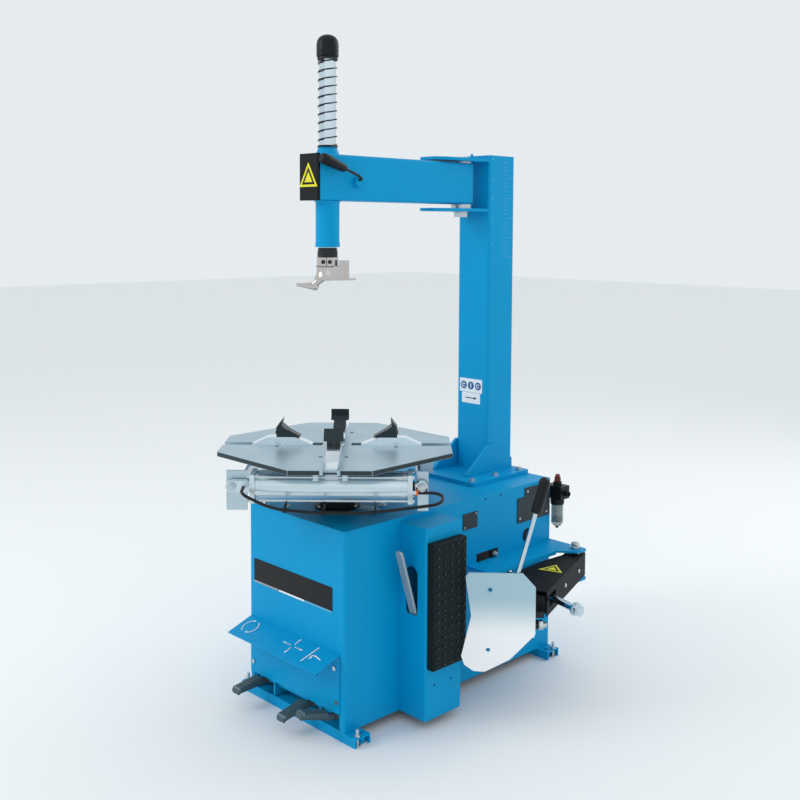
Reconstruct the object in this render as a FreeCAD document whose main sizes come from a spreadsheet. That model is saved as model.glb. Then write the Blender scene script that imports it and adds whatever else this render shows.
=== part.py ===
"""Swing-arm tyre changer: parametric model of every separate piece.

Frame: millimetres, +Z up, floor at z = 0, origin at the centre of the four floor-anchor holes.
+X points to the bead-breaker side, -Y to the operator's pedals, +Y to the column.
"""
import FreeCAD, Part
import math
import os
import re
import Sketcher

Vector = FreeCAD.Vector
Rotation = FreeCAD.Rotation
Placement = FreeCAD.Placement

DIMENSIONS = {
    # cabinet and feet
    "cab_wide": 408, "cab_deep": 860, "cab_top": 560, "cab_low": 25, "sheet": 3,
    "front_wrap": 30, "foot_out": 42, "foot_wide": 54, "foot_wall": 4,
    "anchor_inset_x": 20, "anchor_inset_y": 38, "anchor_rad": 6, "level_inset_x": 9, "level_inset_y": 16,
    "level_rad": 4.5, "pedal_gap_low": 28, "pedal_gap_high": 90, "pedal_gap_half": 186,
    "pedal_y": -408, "pedal_z": 56,
    # pedal guard with its sloping hood
    "guard_left": -198, "guard_right": 187, "guard_low": 71, "guard_fold": 230, "hood_out": 82,
    "hood_drop": 28, "guard_thick": 2.5,
    # tyre pad box and pad
    "box_out": 99, "box_front": -230, "box_back": -89, "box_top": 549, "pad_thick": 25.6,
    "pad_front": -224, "pad_back": -97, "pad_low": 168, "pad_high": 510, "slot_half": 22,
    "slot_low": 305, "slot_high": 437, "slot_mid": 250, "lever_half": 14,
    # turntable
    "table_y": -278, "table_top": 737, "table_thick": 13, "table_turn": 45.7, "corner_far": 318,
    "corner_half": 106.5, "slot_wide": 36, "slot_start": 40, "slide_in": 68, "slide_out": 236,
    "slide_high": 22, "slide_gap": 0.3, "flange_wide": 58, "flange_low": 26, "flange_top": 14.5,
    "jaw_wide": 52, "jaw_foot": 35, "hub_rad": 38, "hub_head_rad": 32,
    # clamp cylinders under the table
    "tube_off": 230, "tube_half": 196, "tube_rad": 34, "tube_bore": 31, "tube_drop": 62, "cap_thick": 12,
    "cap_size": 74, "ram_rad": 9, "eye_rad": 16, "eye_left": 258, "eye_right": 232,
    # cam plate: its spiral slots gain cam_pitch millimetres of radius per radian
    "cam_rad": 190, "cam_low": 46, "cam_thick": 8, "cam_pitch": 100, "cam_pin": 90, "cam_pin_rad": 6,
    # column, bracket and swing arm
    "col_x": -18, "col_wide": 128, "col_deep": 122, "col_top": 1568, "col_wall": 5, "base_half": 139,
    "base_front": 160, "base_thick": 12, "gusset_high": 87, "gusset_long": 103, "gusset_thick": 10,
    "horn_front": 96, "horn_top": 1556, "horn_low": 1393, "horn_thick": 9, "pivot_y": 250, "pivot_rad": 17,
    "arm_low": 1415.5, "arm_top": 1541.5, "arm_half": 40, "arm_wall": 5, "arm_front": -362, "arm_back": 258,
    # mounting shaft, spring and head
    "shaft_y": -298, "hex_half": 20.5, "shaft_low": 1262, "shaft_top": 1800, "sleeve_rad": 33,
    "sleeve_low": 1288, "boss_top": 1562, "spring_rad": 26.5, "spring_wire": 1.5, "spring_top": 1800,
    "spring_turns": 10, "knob_low": 1805, "knob_rad": 30.5, "knob_top": 1867, "head_low": 1197,
    # bead breaker
    "bead_x": 322, "bead_y": 405, "bead_turn": 20.2, "bead_low": 284, "bead_top": 353, "bead_long": 372,
    "shelf_out": 297, "shelf_top": 366, "shelf_front": 40, "ear_out": 350, "shelf_thick": 6, "rod_z": 321,
    "rod_rad": 10, "rod_turn": -13.75, "trunnion_x": -40, "trunnion_y": 235, "rod_reach": 630,
    "blade_turn": 43, "blade_x": 505, "blade_y": 20, "blade_thick": 6, "bolt_back": 52, "bolt_high": 262,
    "lug_rad": 18,
}

GUARD_SCREWS = [(169, 191), (177, 102), (-184, 191), (-184, 102)]

doc = FreeCAD.newDocument("TyreChanger")
sheet = doc.addObject("Spreadsheet::Sheet", "Dims")
for row, (alias, number) in enumerate(DIMENSIONS.items(), start=1):
    sheet.set(f"A{row}", alias)
    sheet.set(f"B{row}", str(number))
    sheet.setAlias(f"B{row}", alias)
doc.recompute()

WORD = re.compile(r"[a-z_]+")
finished = []
bolts = []


def bound(formula):
    """Turn a formula in alias names into an expression that reads the sheet."""
    return WORD.sub(lambda word: "Dims." + word.group(0) if word.group(0) in DIMENSIONS else word.group(0),
                    str(formula))


def value(formula):
    """The present number of a formula, for shapes made by Part's own functions."""
    return float(sheet.evalExpression(bound(formula)))


def bind(item, **formulas):
    for name, formula in formulas.items():
        item.setExpression(name, bound(formula))
    return item


def at(item, x=0, y=0, z=0, turn=None):
    """Place an item; turn is a Rotation or None."""
    if turn is not None:
        item.Placement = Placement(Vector(), turn)
    for axis, formula in zip("xyz", (x, y, z)):
        item.setExpression("Placement.Base." + axis, bound(formula))
    return item


def box(wide, deep, high, x=0, y=0, z=0):
    item = doc.addObject("Part::Box", "Block")
    bind(item, Length=wide, Width=deep, Height=high)
    return at(item, x, y, z)


def slab(wide, deep, high, x=0, y=0, z=0):
    """A box centred on x and y, standing on z."""
    return box(wide, deep, high, f"{x} - ({wide}) / 2", f"{y} - ({deep}) / 2", z)


ALONG = {"z": Rotation(), "x": Rotation(Vector(0, 1, 0), 90), "y": Rotation(Vector(1, 0, 0), -90)}


def rod(radius, length, x=0, y=0, z=0, along="z"):
    item = doc.addObject("Part::Cylinder", "Round")
    bind(item, Radius=radius, Height=length)
    return at(item, x, y, z, ALONG[along])


def ball(radius, x=0, y=0, z=0):
    item = doc.addObject("Part::Sphere", "Ball")
    bind(item, Radius=radius)
    return at(item, x, y, z)


def cone(radius_low, radius_high, length, x=0, y=0, z=0, along="z"):
    item = doc.addObject("Part::Cone", "Taper")
    bind(item, Radius1=radius_low, Radius2=radius_high, Height=length)
    return at(item, x, y, z, ALONG[along])


def hexagon(across_half, length, x=0, y=0, z=0, along="z"):
    """A six-sided bar, across_half is half the width across its flats."""
    item = doc.addObject("Part::Prism", "Hexagon")
    bind(item, Circumradius=f"({across_half}) * 2 / sqrt(3)", Height=length)
    return at(item, x, y, z, ALONG[along])


def fuse(*items):
    joined = doc.addObject("Part::MultiFuse", "Joined")
    joined.Shapes = list(items)
    return joined


def cut(base, *tools):
    item = doc.addObject("Part::Cut", "Opened")
    item.Base = base
    item.Tool = tools[0] if len(tools) == 1 else fuse(*tools)
    return item


def group(*items):
    """Separate solids that share one node."""
    gathered = doc.addObject("Part::Compound", "Set")
    gathered.Links = list(items)
    return gathered


def round_edges(base, radius, wanted):
    """Fillet the edges of base for which wanted(edge) is true."""
    doc.recompute()
    item = doc.addObject("Part::Fillet", "Rounded")
    item.Base = base
    item.Edges = [(number, radius, radius) for number, edge in enumerate(base.Shape.Edges, start=1) if wanted(edge)]
    return item


def upright(edge):
    """True for a straight edge parallel to Z."""
    return abs(edge.BoundBox.ZLength - edge.Length) < 1e-6


def origin_plane(body, role):
    return next(feature for feature in body.Origin.OriginFeatures if feature.Role == role)


def outline(body, plane, points):
    """A closed polygon sketch whose every corner is bound to the sheet."""
    sketch = body.newObject("Sketcher::SketchObject", "Outline")
    sketch.AttachmentSupport = [(origin_plane(body, plane), "")]
    sketch.MapMode = "FlatFace"
    corners = [(value(across), value(up)) for across, up in points]
    count = len(corners)
    for index, (across, up) in enumerate(corners):
        ahead = corners[(index + 1) % count]
        sketch.addGeometry(Part.LineSegment(Vector(across, up, 0), Vector(ahead[0], ahead[1], 0)))
    for index in range(count):
        sketch.addConstraint(Sketcher.Constraint("Coincident", index, 2, (index + 1) % count, 1))
    for index, (point, corner) in enumerate(zip(points, corners)):
        for kind, formula, number in zip(("DistanceX", "DistanceY"), point, corner):
            rule = sketch.addConstraint(Sketcher.Constraint(kind, -1, 1, index, 1, number))
            sketch.setExpression(f"Constraints[{rule}]", bound(formula))
    return sketch


def prism(plane, points, length, x=0, y=0, z=0, turn=None):
    """A PartDesign pad of a polygon: XY pads up, YZ pads towards +X, XZ pads towards -Y."""
    body = doc.addObject("PartDesign::Body", "Body")
    sketch = outline(body, plane + "_Plane", points)
    pad = body.newObject("PartDesign::Pad", "Pad")
    pad.Profile = sketch
    bind(pad, Length=length)
    return at(body, x, y, z, turn)


def turned(points, x=0, y=0, z=0, turn=None):
    """A PartDesign revolution of a (radius, height) outline about the body's own Z axis."""
    body = doc.addObject("PartDesign::Body", "Body")
    sketch = outline(body, "XZ_Plane", points)
    spin = body.newObject("PartDesign::Revolution", "Revolution")
    spin.Profile = sketch
    spin.ReferenceAxis = (sketch, ["V_Axis"])
    spin.Angle = 360
    return at(body, x, y, z, turn)


def ring(inner, outer, length, x=0, y=0, z=0):
    return turned([(inner, 0), (outer, 0), (outer, length), (inner, length)], x, y, z)


def pipe(points, radius):
    """A hose along straight runs joined by tangent arcs as large as their runs allow."""
    corners = [Vector(*point) for point in points]
    edges, start, radii = [], corners[0], []
    for before, corner, after in zip(corners, corners[1:], corners[2:]):
        way_in, way_out = (corner - before).normalize(), (after - corner).normalize()
        half = way_in.getAngle(way_out) / 2
        setback = 0.45 * min((corner - before).Length, (after - corner).Length)
        bend = setback / math.tan(half)
        first, last = corner - way_in * setback, corner + way_out * setback
        radii.append(round(bend, 1))
        middle = corner + (way_out - way_in).normalize() * (bend / math.cos(half) - bend)
        edges.append(Part.LineSegment(start, first).toShape())
        edges.append(Part.Arc(first, middle, last).toShape())
        start = last
    edges.append(Part.LineSegment(start, corners[-1]).toShape())
    path = Part.Wire(edges)
    disc = Part.Wire(Part.makeCircle(radius, corners[0], corners[1] - corners[0]))
    item = doc.addObject("Part::Feature", "Pipe")
    item.Shape = path.makePipeShell([disc], True, False)
    print(f"hose of radius {radius}: length {path.Length:.0f}, arc radii {radii}, volume over area times length",
          round(item.Shape.Volume / (math.pi * radius ** 2 * path.Length), 4))
    return item


def finish(label, item, x=None, y=None, z=None, turn=None):
    """Name a piece, place it, and put it on the list of pieces to write."""
    item.Label = label
    if x is not None:
        at(item, x, y, z, turn)
    finished.append(item)
    return item


def z_turn(degrees):
    return Rotation(Vector(0, 0, 1), degrees)


# ---------------------------------------------------------------- cabinet

def make_cabinet():
    half, top = "cab_wide / 2", "cab_top"
    outer = box("cab_wide", "cab_deep", "cab_top - cab_low", "-cab_wide / 2", "-cab_deep / 2", "cab_low")
    room = box("cab_wide - 2 * sheet", "cab_deep - sheet + 1", "cab_top - cab_low - sheet + 1",
               "-cab_wide / 2 + sheet", "-cab_deep / 2 - 1", "cab_low - 1")
    nose = box("cab_wide + 2", "front_wrap + 1.3", "cab_top - cab_low - sheet + 1",
               "-cab_wide / 2 - 1", "-cab_deep / 2 - 1", "cab_low - 1")
    shaft_hole = rod("hub_rad + 14", 20, 0, "table_y", "cab_top - 10")
    side_slot = box(20, 97, 30, f"{half} - 10", 84, 361)
    rod_window = box(20, 100, 44, f"{half} - 10", 150, 299)
    side_hole = rod(18, 20, f"{half} - 10", 318, 400, "x")
    rear_window = box(300, 20, 400, -150, "cab_deep / 2 - 10", 90)
    bolt_holes = [rod(5.5, 20, f"col_x + {side} * (base_half - 24)", spot, f"{top} - 10")
                  for side in (-1, 1) for spot in (182, 290, 405)]
    cover_holes = [rod(3.2, 20, side * 155, "cab_deep / 2 - 10", height, "y")
                   for side in (-1, 1) for height in (90, 290, 490)]
    finish("cabinet_shell", cut(outer, room, nose, shaft_hole, side_slot, rod_window, side_hole, rear_window,
                                *cover_holes, *bolt_holes))

    wrap = box("cab_wide", "front_wrap", "cab_top - cab_low - sheet - 0.5", "-cab_wide / 2", "-cab_deep / 2",
               "cab_low")
    hollow = box("cab_wide - 2 * sheet", "front_wrap", "cab_top", "-cab_wide / 2 + sheet",
                 "-cab_deep / 2 + sheet", 0)
    pedal_gap = box("2 * pedal_gap_half", 20, "pedal_gap_high - pedal_gap_low", "-pedal_gap_half",
                    "-cab_deep / 2 - 10", "pedal_gap_low")
    finish("front_cover", cut(round_edges(wrap, 6, lambda edge: upright(edge) and edge.BoundBox.YMax
                                          < value("-cab_deep / 2 + 1")), hollow, pedal_gap,
                              *[rod(3.2, 20, x, "-cab_deep / 2 - 10", z, "y") for x, z in GUARD_SCREWS]))
    finish("rear_cover", cut(slab(330, 2.5, 430, 0, "cab_deep / 2 + 1.25", 75),
                             *[box(120, 20, 5, -60, "cab_deep / 2 - 5", 140 + 16 * step) for step in range(6)],
                             *[rod(3, 20, side * 155, "cab_deep / 2 - 8", height, "y")
                               for side in (-1, 1) for height in (90, 290, 490)]))
    bolts.extend([fuse(rod(2.9, 9, side * 155, "cab_deep / 2 - 6.4", height, "y"),
                       rod(6, 3, side * 155, "cab_deep / 2 + 2.6", height, "y"))
                  for side in (-1, 1) for height in (90, 290, 490)])

    feet = []
    for sign, front in ((1, "-cab_deep / 2"), (-1, "cab_deep / 2 - foot_wide")):
        wall, wide, high = "foot_wall", "foot_wide", "cab_low"
        channel = prism("YZ", [(0, 0), (wall, 0), (wall, f"{high} - {wall}"), (f"{wide} - {wall}", f"{high} - {wall}"),
                               (f"{wide} - {wall}", 0), (wide, 0), (wide, high), (0, high)],
                        "cab_wide + 2 * foot_out", "-cab_wide / 2 - foot_out", front, 0)
        edge = "-cab_deep / 2" if sign == 1 else "cab_deep / 2"
        holes, sleeves = [], []
        for side in (-1, 1):
            end = f"{side} * (cab_wide / 2 + foot_out"
            sleeves.append(rod("anchor_rad + 5", 24, f"{end} - anchor_inset_x)",
                               f"{edge} + {sign} * anchor_inset_y", 0))
            holes.append(rod("anchor_rad", 40, f"{end} - anchor_inset_x)", f"{edge} + {sign} * anchor_inset_y", -5))
            holes.append(rod("level_rad + 0.4", 40, f"{end} - level_inset_x)", f"{edge} + {sign} * level_inset_y", 5))
        feet.append(cut(fuse(channel, *sleeves), *holes))
    finish("feet", group(*feet))

    for side in (-1, 1):
        for end in (-1, 1):
            x = f"{side} * (cab_wide / 2 + foot_out - level_inset_x)"
            y = f"{end} * (cab_deep / 2 - level_inset_y)"
            bolts.append(fuse(rod(9, 4, x, y, 0), rod("level_rad", 44, x, y, 2), hexagon(7.5, 6.5, x, y, "cab_low")))


def make_front():
    thick, low, fold = "guard_thick", "guard_low", "guard_fold"
    front = "-cab_deep / 2 - 0.3"
    wide = "guard_right - guard_left"
    # sheet outline seen from the side: a flat panel with a hood that slopes out and down
    panel = prism("YZ", [(0, low), (0, f"{fold} + {thick}"), ("-hood_out", f"{fold} + {thick} - hood_drop"),
                         ("-hood_out", f"{fold} - hood_drop"), (f"-{thick}", f"{fold} - {thick} / 4"),
                         (f"-{thick}", low)], wide, "guard_left", front, 0)
    holes = [rod(3.2, 20, x, "-cab_deep / 2 - 12", z, "y") for x, z in GUARD_SCREWS]
    finish("pedal_guard", cut(panel, *holes))
    bolts.extend([fuse(rod(3, 12, x, "-cab_deep / 2 - 4.5", z, "y"),
                       rod(6, 3.2, x, f"{front} - {thick} - 3.2", z, "y")) for x, z in GUARD_SCREWS])


def make_side_box():
    inner = "sheet"
    start = "cab_wide / 2 + 0.2"
    shell = box("box_out - 0.2", "box_back - box_front", "box_top - cab_low", start, "box_front", "cab_low")
    room = box(f"box_out - {inner}", f"box_back - box_front - 2 * {inner}", f"box_top - cab_low - {inner} + 1",
               "cab_wide / 2 - 1", f"box_front + {inner}", "cab_low - 1")
    # the slot is round at its top and has small corners at its foot
    round_top, foot_rad = "slot_high - slot_half", 10
    slot = fuse(box("2 * slot_half", 20, f"{round_top} - slot_low - {foot_rad}", "slot_mid - slot_half",
                    "box_front - 10", f"slot_low + {foot_rad}"),
                rod("slot_half", 20, "slot_mid", "box_front - 10", round_top, "y"),
                box(f"2 * slot_half - {2 * foot_rad}", 20, 30, f"slot_mid - slot_half + {foot_rad}",
                    "box_front - 10", "slot_low"),
                *[rod(foot_rad, 20, f"slot_mid + {side} * (slot_half - {foot_rad})", "box_front - 10",
                      f"slot_low + {foot_rad}", "y") for side in (-1, 1)])
    side = [rod(3, 20, "cab_wide / 2 + box_out - 10", y, z, "x") for y, z in ((-195, 117), (-130, 116))]
    rounded = round_edges(shell, 5, lambda edge: upright(edge) and edge.BoundBox.XMin > value("cab_wide / 2 + 50"))
    # flat tyre lever that stands in the box's slot, its upper end leaning out towards the operator
    lever = prism("YZ", [(-212.3, 289.2), (-276.2, 491.2), (-283.8, 488.8), (-219.9, 286.8)], "2 * lever_half",
                  "slot_mid - lever_half", 0, 0)
    well = prism("YZ", [(-211.7, 288.8), (-231.2, 350.4), (-240, 347.6), (-220.5, 286)], "2 * lever_half + 1.2",
                 "slot_mid - lever_half - 0.6", 0, 0)
    socket = cut(box("2 * lever_half + 10", 27.5, 34, "slot_mid - lever_half - 5", "box_front + sheet - 0.5", 268),
                 well)
    finish("pad_box", fuse(cut(rounded, room, slot, *side), socket))
    pad = box("pad_thick", "pad_back - pad_front", "pad_high - pad_low", "cab_wide / 2 + box_out + 0.2",
              "pad_front", "pad_low")
    finish("bead_pad", round_edges(pad, 4, lambda edge: edge.BoundBox.XMin > value("cab_wide / 2 + box_out + 10")))
    finish("tyre_lever", lever)
    blank = slab(2, 61, 47, "cab_wide / 2 + 1.3", 54, 473)
    plate = prism("YZ", [(268, 445), (426, 445), (426, 549), (303, 549), (303, 522), (268, 522)], 2,
                  "cab_wide / 2 + 0.3", 0, 0)
    notched = cut(plate, *[rod(2.5, 20, "cab_wide / 2 - 5", y, z, "x")
                           for y, z in ((280, 458), (410, 458), (316, 536), (410, 536))])
    finish("side_plates", group(blank, notched))


def pedal(x, droop, lean, label):
    """A foot pedal: bent lever on the cross shaft with its tread; lean turns it sideways."""
    tip, turn = -112, z_turn(lean)
    lever = prism("YZ", [(12, -8), (12, 8), (-26, 8), (tip, 9 - droop), (tip, 2 - droop), (-26, -8)], 12,
                  "-6", 0, 0, turn)
    tread = prism("YZ", [(-36, 7.5 - droop / 8), (tip + 4, 8.5 - droop), (tip - 4, 4 - droop), (tip - 6, 12 - droop),
                         (tip - 2, 20 - droop), (-38, 18 - droop / 8)], 30, "-15", 0, 0, turn)
    hub = rod(13, 22, -11, 0, 0, "x")
    bore = rod(7.3, 60, -30, 0, 0, "x")
    finish("pedal_" + label, cut(fuse(lever, hub, tread), bore), x, "pedal_y", "pedal_z", Rotation())


def make_pedals():
    shaft = rod(7, 372, -186, "pedal_y", "pedal_z", "x")
    pedal(-146, 14, 0, "turn")
    pedal(56, 22, 0, "clamp")
    pedal(160, -12, -14, "bead")
    mounts = [box(6, 40, 54, x, "-cab_deep / 2 + 3.2", 28) for x in (-186, -100, 100, 180)]
    finish("pedal_frame", fuse(shaft, *mounts))
    finish("pedal_valves", group(*[fuse(slab(26, 60, 34, x, "-cab_deep / 2 + 110", 62),
                                        rod(5, 26, x, "-cab_deep / 2 + 55", 79, "y")) for x in (-146, 56, 160)]))


# ---------------------------------------------------------------- drive inside the cabinet

def make_drive():
    middle = "table_y"
    case = cut(fuse(slab(190, 230, 120, 0, middle, 425), rod(75, 12, 0, middle, "cab_top - sheet - 12.2"),
                    rod(20, 60, 0, f"{middle} + 100", 470, "y")),
               rod(25, 200, 0, middle, 460), rod(12.5, 80, 0, f"{middle} + 82", 470, "y"))
    flange = ring("hub_rad + 2", 64, 6, 0, middle, "cab_top + 0.2")
    union = ring("hub_rad + 2", 50, 24, 0, middle, "cab_top + 6.2")
    finish("gearbox", case)
    finish("rotary_union", fuse(flange, union))
    # pulleys stand on Y axes behind the gearbox, joined by a belt
    pulley_y = f"{middle} + 165"
    finish("gearbox_pulley", fuse(rod(62, 26, 0, pulley_y, 470, "y"), rod(12, 104, 0, f"{middle} + 88", 470, "y")))
    finish("motor_pulley", fuse(rod(30, 26, 0, pulley_y, 250, "y"), rod(9.5, 84, 0, f"{middle} + 160", 250, "y")))
    case = cut(fuse(rod(70, 190, 0, f"{middle} + 215", 250, "y"), slab(90, 140, 22, 0, f"{middle} + 310", 168),
                    box(80, 90, 26, 50, f"{middle} + 260", 250)), rod(10, 40, 0, f"{middle} + 210", 250, "y"))
    belt_y = value(f"{middle} + 171")
    path = Part.Wire([Part.LineSegment(Vector(-66, belt_y, 470), Vector(-34, belt_y, 250)).toShape(),
                      Part.Arc(Vector(-34, belt_y, 250), Vector(0, belt_y, 216), Vector(34, belt_y, 250)).toShape(),
                      Part.LineSegment(Vector(34, belt_y, 250), Vector(66, belt_y, 470)).toShape(),
                      Part.Arc(Vector(66, belt_y, 470), Vector(0, belt_y, 536), Vector(-66, belt_y, 470)).toShape()])
    outer = Part.Face(path).extrude(Vector(0, 14, 0))
    inner_path = path.makeOffset2D(-3)
    inner = Part.Face(inner_path).extrude(Vector(0, 14, 0))
    belt = doc.addObject("Part::Feature", "Belt")
    belt.Shape = outer.cut(inner)
    finish("drive_belt", belt)
    plate = slab(150, 200, 10, 0, f"{middle} + 310", 158)
    rails = [box("cab_wide - 2 * sheet - 1", 20, 21, "-cab_wide / 2 + sheet + 0.5", y, 137) for y in (-40, 80)]
    finish("motor", fuse(case, plate, *rails))


# ---------------------------------------------------------------- turntable

def make_table():
    far, half, top = "corner_far", "corner_half", "table_top"
    plate = prism("XY", [(far, f"-{half}"), (far, half), (half, far), (f"-{half}", far), (f"-{far}", half),
                         (f"-{far}", f"-{half}"), (f"-{half}", f"-{far}"), (half, f"-{far}")], "table_thick",
                  0, 0, "-table_thick")
    slots, screw_holes = [], []
    for step in range(4):
        quarter = z_turn(90 * step)
        slot = slab("corner_far", "slot_wide", 40, 0, 0, -20)
        opened = at(group(at(slot, "slot_start", "-slot_wide / 2", -20)), 0, 0, 0, quarter)
        slots.append(opened)
        for side in (-1, 1):
            spot = quarter.multVec(Vector(165, side * 34, 0))
            screw_holes.append(rod(4.2, 40, spot.x, spot.y, -20))
    turn = z_turn(value("table_turn"))
    finish("table_plate", cut(plate, *slots, *screw_holes), 0, "table_y", top, turn)
    collar = "table_top - cam_low - 0.4"
    finish("table_hub", turned([(0, 500), (24, 500), (24, 562), ("hub_rad", 564), ("hub_rad", f"{collar} - 7"),
                                (60, f"{collar} - 7"), (60, collar), ("hub_rad", collar), ("hub_rad", 716),
                                ("hub_head_rad", 716), ("hub_head_rad", "table_top - table_thick"),
                                (0, "table_top - table_thick")]), 0, "table_y", 0, Rotation())


def make_slide(step):
    """One jaw slide with its hooked jaw, made along +X and turned to its own slot."""
    start, end = "slide_in", "slide_out"
    bar = prism("XZ", [(start, "-flange_low"), (end, "-flange_low"), (end, 2), ("slide_out - 44", "slide_high"),
                       ("slide_in + 50", "slide_high"), (start, 2)], "slot_wide - 2 * slide_gap", 0,
                "slot_wide / 2 - slide_gap", 0)
    flange = slab(f"{end} - {start}", "flange_wide", "flange_low - flange_top", f"({start} + {end}) / 2", 0,
                  "-flange_low")
    pin = rod("cam_pin_rad", "cam_low - flange_low + 3", "cam_pin", 0, "-cam_low - 2")
    pieces = [bar, flange, pin]
    if step in (0, 2):
        pieces.extend(cross_bracket())
    turn = z_turn(value("table_turn") + 90 * step)
    name = ("right", "back", "left", "front")[step]
    finish("jaw_slide_" + name, fuse(*pieces), 0, "table_y", "table_top", turn)
    wedge = prism("XZ", [(102, "slide_high + 0.1"), (168, "slide_high + 0.1"), (168, 46), (141, 46), (102, 24)],
                  "jaw_foot", 0, "jaw_foot / 2", 0)
    hook = prism("XZ", [(136, 42), (168, 42), (168, 50), (150, 73), (153, 56), (142, 47)], "jaw_wide",
                 0, "jaw_wide / 2", 0)
    finish("jaw_" + name, fuse(wedge, hook), 0, "table_y", "table_top", turn)


def make_cam():
    turn = z_turn(value("table_turn"))
    pitch, middle, spread = value("cam_pitch"), value("cam_pin"), value("cam_pin_rad + 0.4")
    slots = []
    for step in range(4):
        # the pin sits at angle zero at rest and falls back as the radius grows
        rows = []
        for side in (-1, 1):
            row = []
            for count in range(9):
                radius = middle - 7.5 + count * 11.875
                angle = -(radius - middle) / pitch + math.radians(90 * step)
                lean = angle - math.atan2(radius, pitch)
                row.append(Vector(radius * math.cos(angle), radius * math.sin(angle), 0)
                           + Vector(math.cos(lean + math.pi / 2), math.sin(lean + math.pi / 2), 0) * side * spread)
            curve = Part.BSplineCurve()
            curve.interpolate(row)
            rows.append(curve)
        low, high = rows
        outline_edges = [low.toShape(), Part.LineSegment(low.EndPoint, high.EndPoint).toShape(), high.toShape(),
                         Part.LineSegment(high.StartPoint, low.StartPoint).toShape()]
        face = Part.Face(Part.Wire(Part.__sortEdges__(outline_edges)))
        slots.append(face.extrude(Vector(0, 0, 40)).translated(Vector(0, 0, -20)))
    disc = Part.makeCylinder(value("cam_rad"), value("cam_thick"))
    disc = disc.cut(Part.makeCylinder(value("hub_rad + 0.4"), 40, Vector(0, 0, -20))).cut(slots)
    item = doc.addObject("Part::Feature", "Cam")
    item.Shape = disc
    finish("cam_plate", item, 0, "table_y", "table_top - cam_low", turn)


def make_cylinder(side):
    """A clamp cylinder: barrel on one slide, ram on the opposite one."""
    z, y = "-tube_drop", "-tube_off"
    name = "front" if side == 0 else "back"
    turn = z_turn(value("table_turn") + 180 * side)
    tube = cut(rod("tube_rad", "2 * tube_half", "-tube_half", y, z, "x"),
               rod("tube_bore", "2 * tube_half + 2", "-tube_half - 1", y, z, "x"))
    left = fuse(box("cap_thick", "cap_size", "cap_size", "-tube_half - cap_thick", f"{y} - cap_size / 2",
                    f"{z} - cap_size / 2"),
                box("eye_left - tube_half", 22, 30, "-eye_left", f"{y} - 11", f"{z} - 15"),
                rod("eye_rad", 22, "-eye_left", f"{y} - 11", z, "y"))
    right = cut(box("cap_thick", "cap_size", "cap_size", "tube_half", f"{y} - cap_size / 2", f"{z} - cap_size / 2"),
                rod("ram_rad + 0.4", 60, "tube_half - 10", y, z, "x"))
    inlets = [rod(6, 16, -226, f"{y} - 27", -60, "y"), rod(6, 14, "tube_half + cap_thick", f"{y} - 25", -72, "x")]
    finish("clamp_barrel_" + name, fuse(tube, cut(left, rod(7.05, 60, "-eye_left", f"{y} - 30", z, "y")), right,
                                        *inlets), 0, "table_y", "table_top", turn)
    ram = fuse(rod("ram_rad", "eye_right - 8", 8, y, z, "x"), rod("tube_bore - 0.4", 16, 2, y, z, "x"),
               cut(rod("eye_rad", 22, "eye_right", f"{y} - 11", z, "y"),
                   rod(7.05, 60, "eye_right", f"{y} - 30", z, "y")))
    finish("clamp_ram_" + name, cut(ram, rod(7.05, 60, "eye_right", f"{y} - 30", z, "y")), 0, "table_y",
           "table_top", turn)


def cross_bracket():
    """Under a slide: a cross web with a drop plate and a pin for the end of each clamp cylinder."""
    top = "-flange_low"
    pieces = [box(8, "2 * tube_off - 46", 66, 222, "23 - tube_off", f"{top} - 66")]
    for where, eye in ((-1, "eye_right"), (1, "eye_left")):
        inner = f"{where} * (tube_off - 19.5)"
        pieces.append(box(f"{eye} - 204", 7, 104, 222, f"{inner} - 3.5", f"{top} - 104"))
        pieces.append(rod(7, 36, eye, f"{where} * (tube_off + 1) - 18", "-tube_drop", "y"))
        pieces.append(rod(11, 4, eye, f"{where} * (tube_off + 15) - 2", "-tube_drop", "y"))
    return pieces


# ---------------------------------------------------------------- column and swing arm

def make_column():
    wide, deep, back = "col_wide", "col_deep", "cab_deep / 2"
    y_mid, low = f"{back} - {deep} / 2", "cab_top + base_thick"
    outer = round_edges(slab(wide, deep, f"col_top - ({low}) - 6", "col_x", y_mid, low), 8, upright)
    pieces = [cut(outer, slab(f"{wide} - 2 * col_wall", f"{deep} - 2 * col_wall", "col_top", "col_x", y_mid,
                              f"{low} - 1")),
              round_edges(slab(wide, deep, 6, "col_x", y_mid, "col_top - 6"), 8, upright)]
    plate = box("2 * base_half", f"{back} - base_front", "base_thick", "col_x - base_half", "base_front", "cab_top")
    holes = [rod(5.5, 40, f"col_x + {side} * (base_half - 24)", spot, "cab_top - 10")
             for side in (-1, 1) for spot in (182, 290, 405)]
    pieces.append(cut(round_edges(plate, 10, upright), *holes))
    for x in ("col_x + col_wide / 2", "col_x - col_wide / 2 - gusset_thick"):
        front = f"{back} - {deep}"
        pieces.append(prism("YZ", [(f"{front} - gusset_long", low), (f"{back} - 10", low),
                                   (f"{back} - 10", f"{low} + 30"), (f"{front} + 20", f"{low} + gusset_high"),
                                   (front, f"{low} + gusset_high"), (f"{front} - gusset_long", f"{low} + 6")],
                            "gusset_thick", x, 0, 0))
    pieces.extend([horn("horn_top - horn_thick"), horn("horn_low")])
    finish("column", fuse(*pieces))
    bolts.extend([fuse(rod(5.4, 30, f"col_x + {side} * (base_half - 24)", spot, "cab_top - 17"),
                       rod(11, 2, f"col_x + {side} * (base_half - 24)", spot, low),
                       hexagon(8.5, 7, f"col_x + {side} * (base_half - 24)", spot, f"{low} + 2"))
                  for side in (-1, 1) for spot in (182, 290, 405)])


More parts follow.
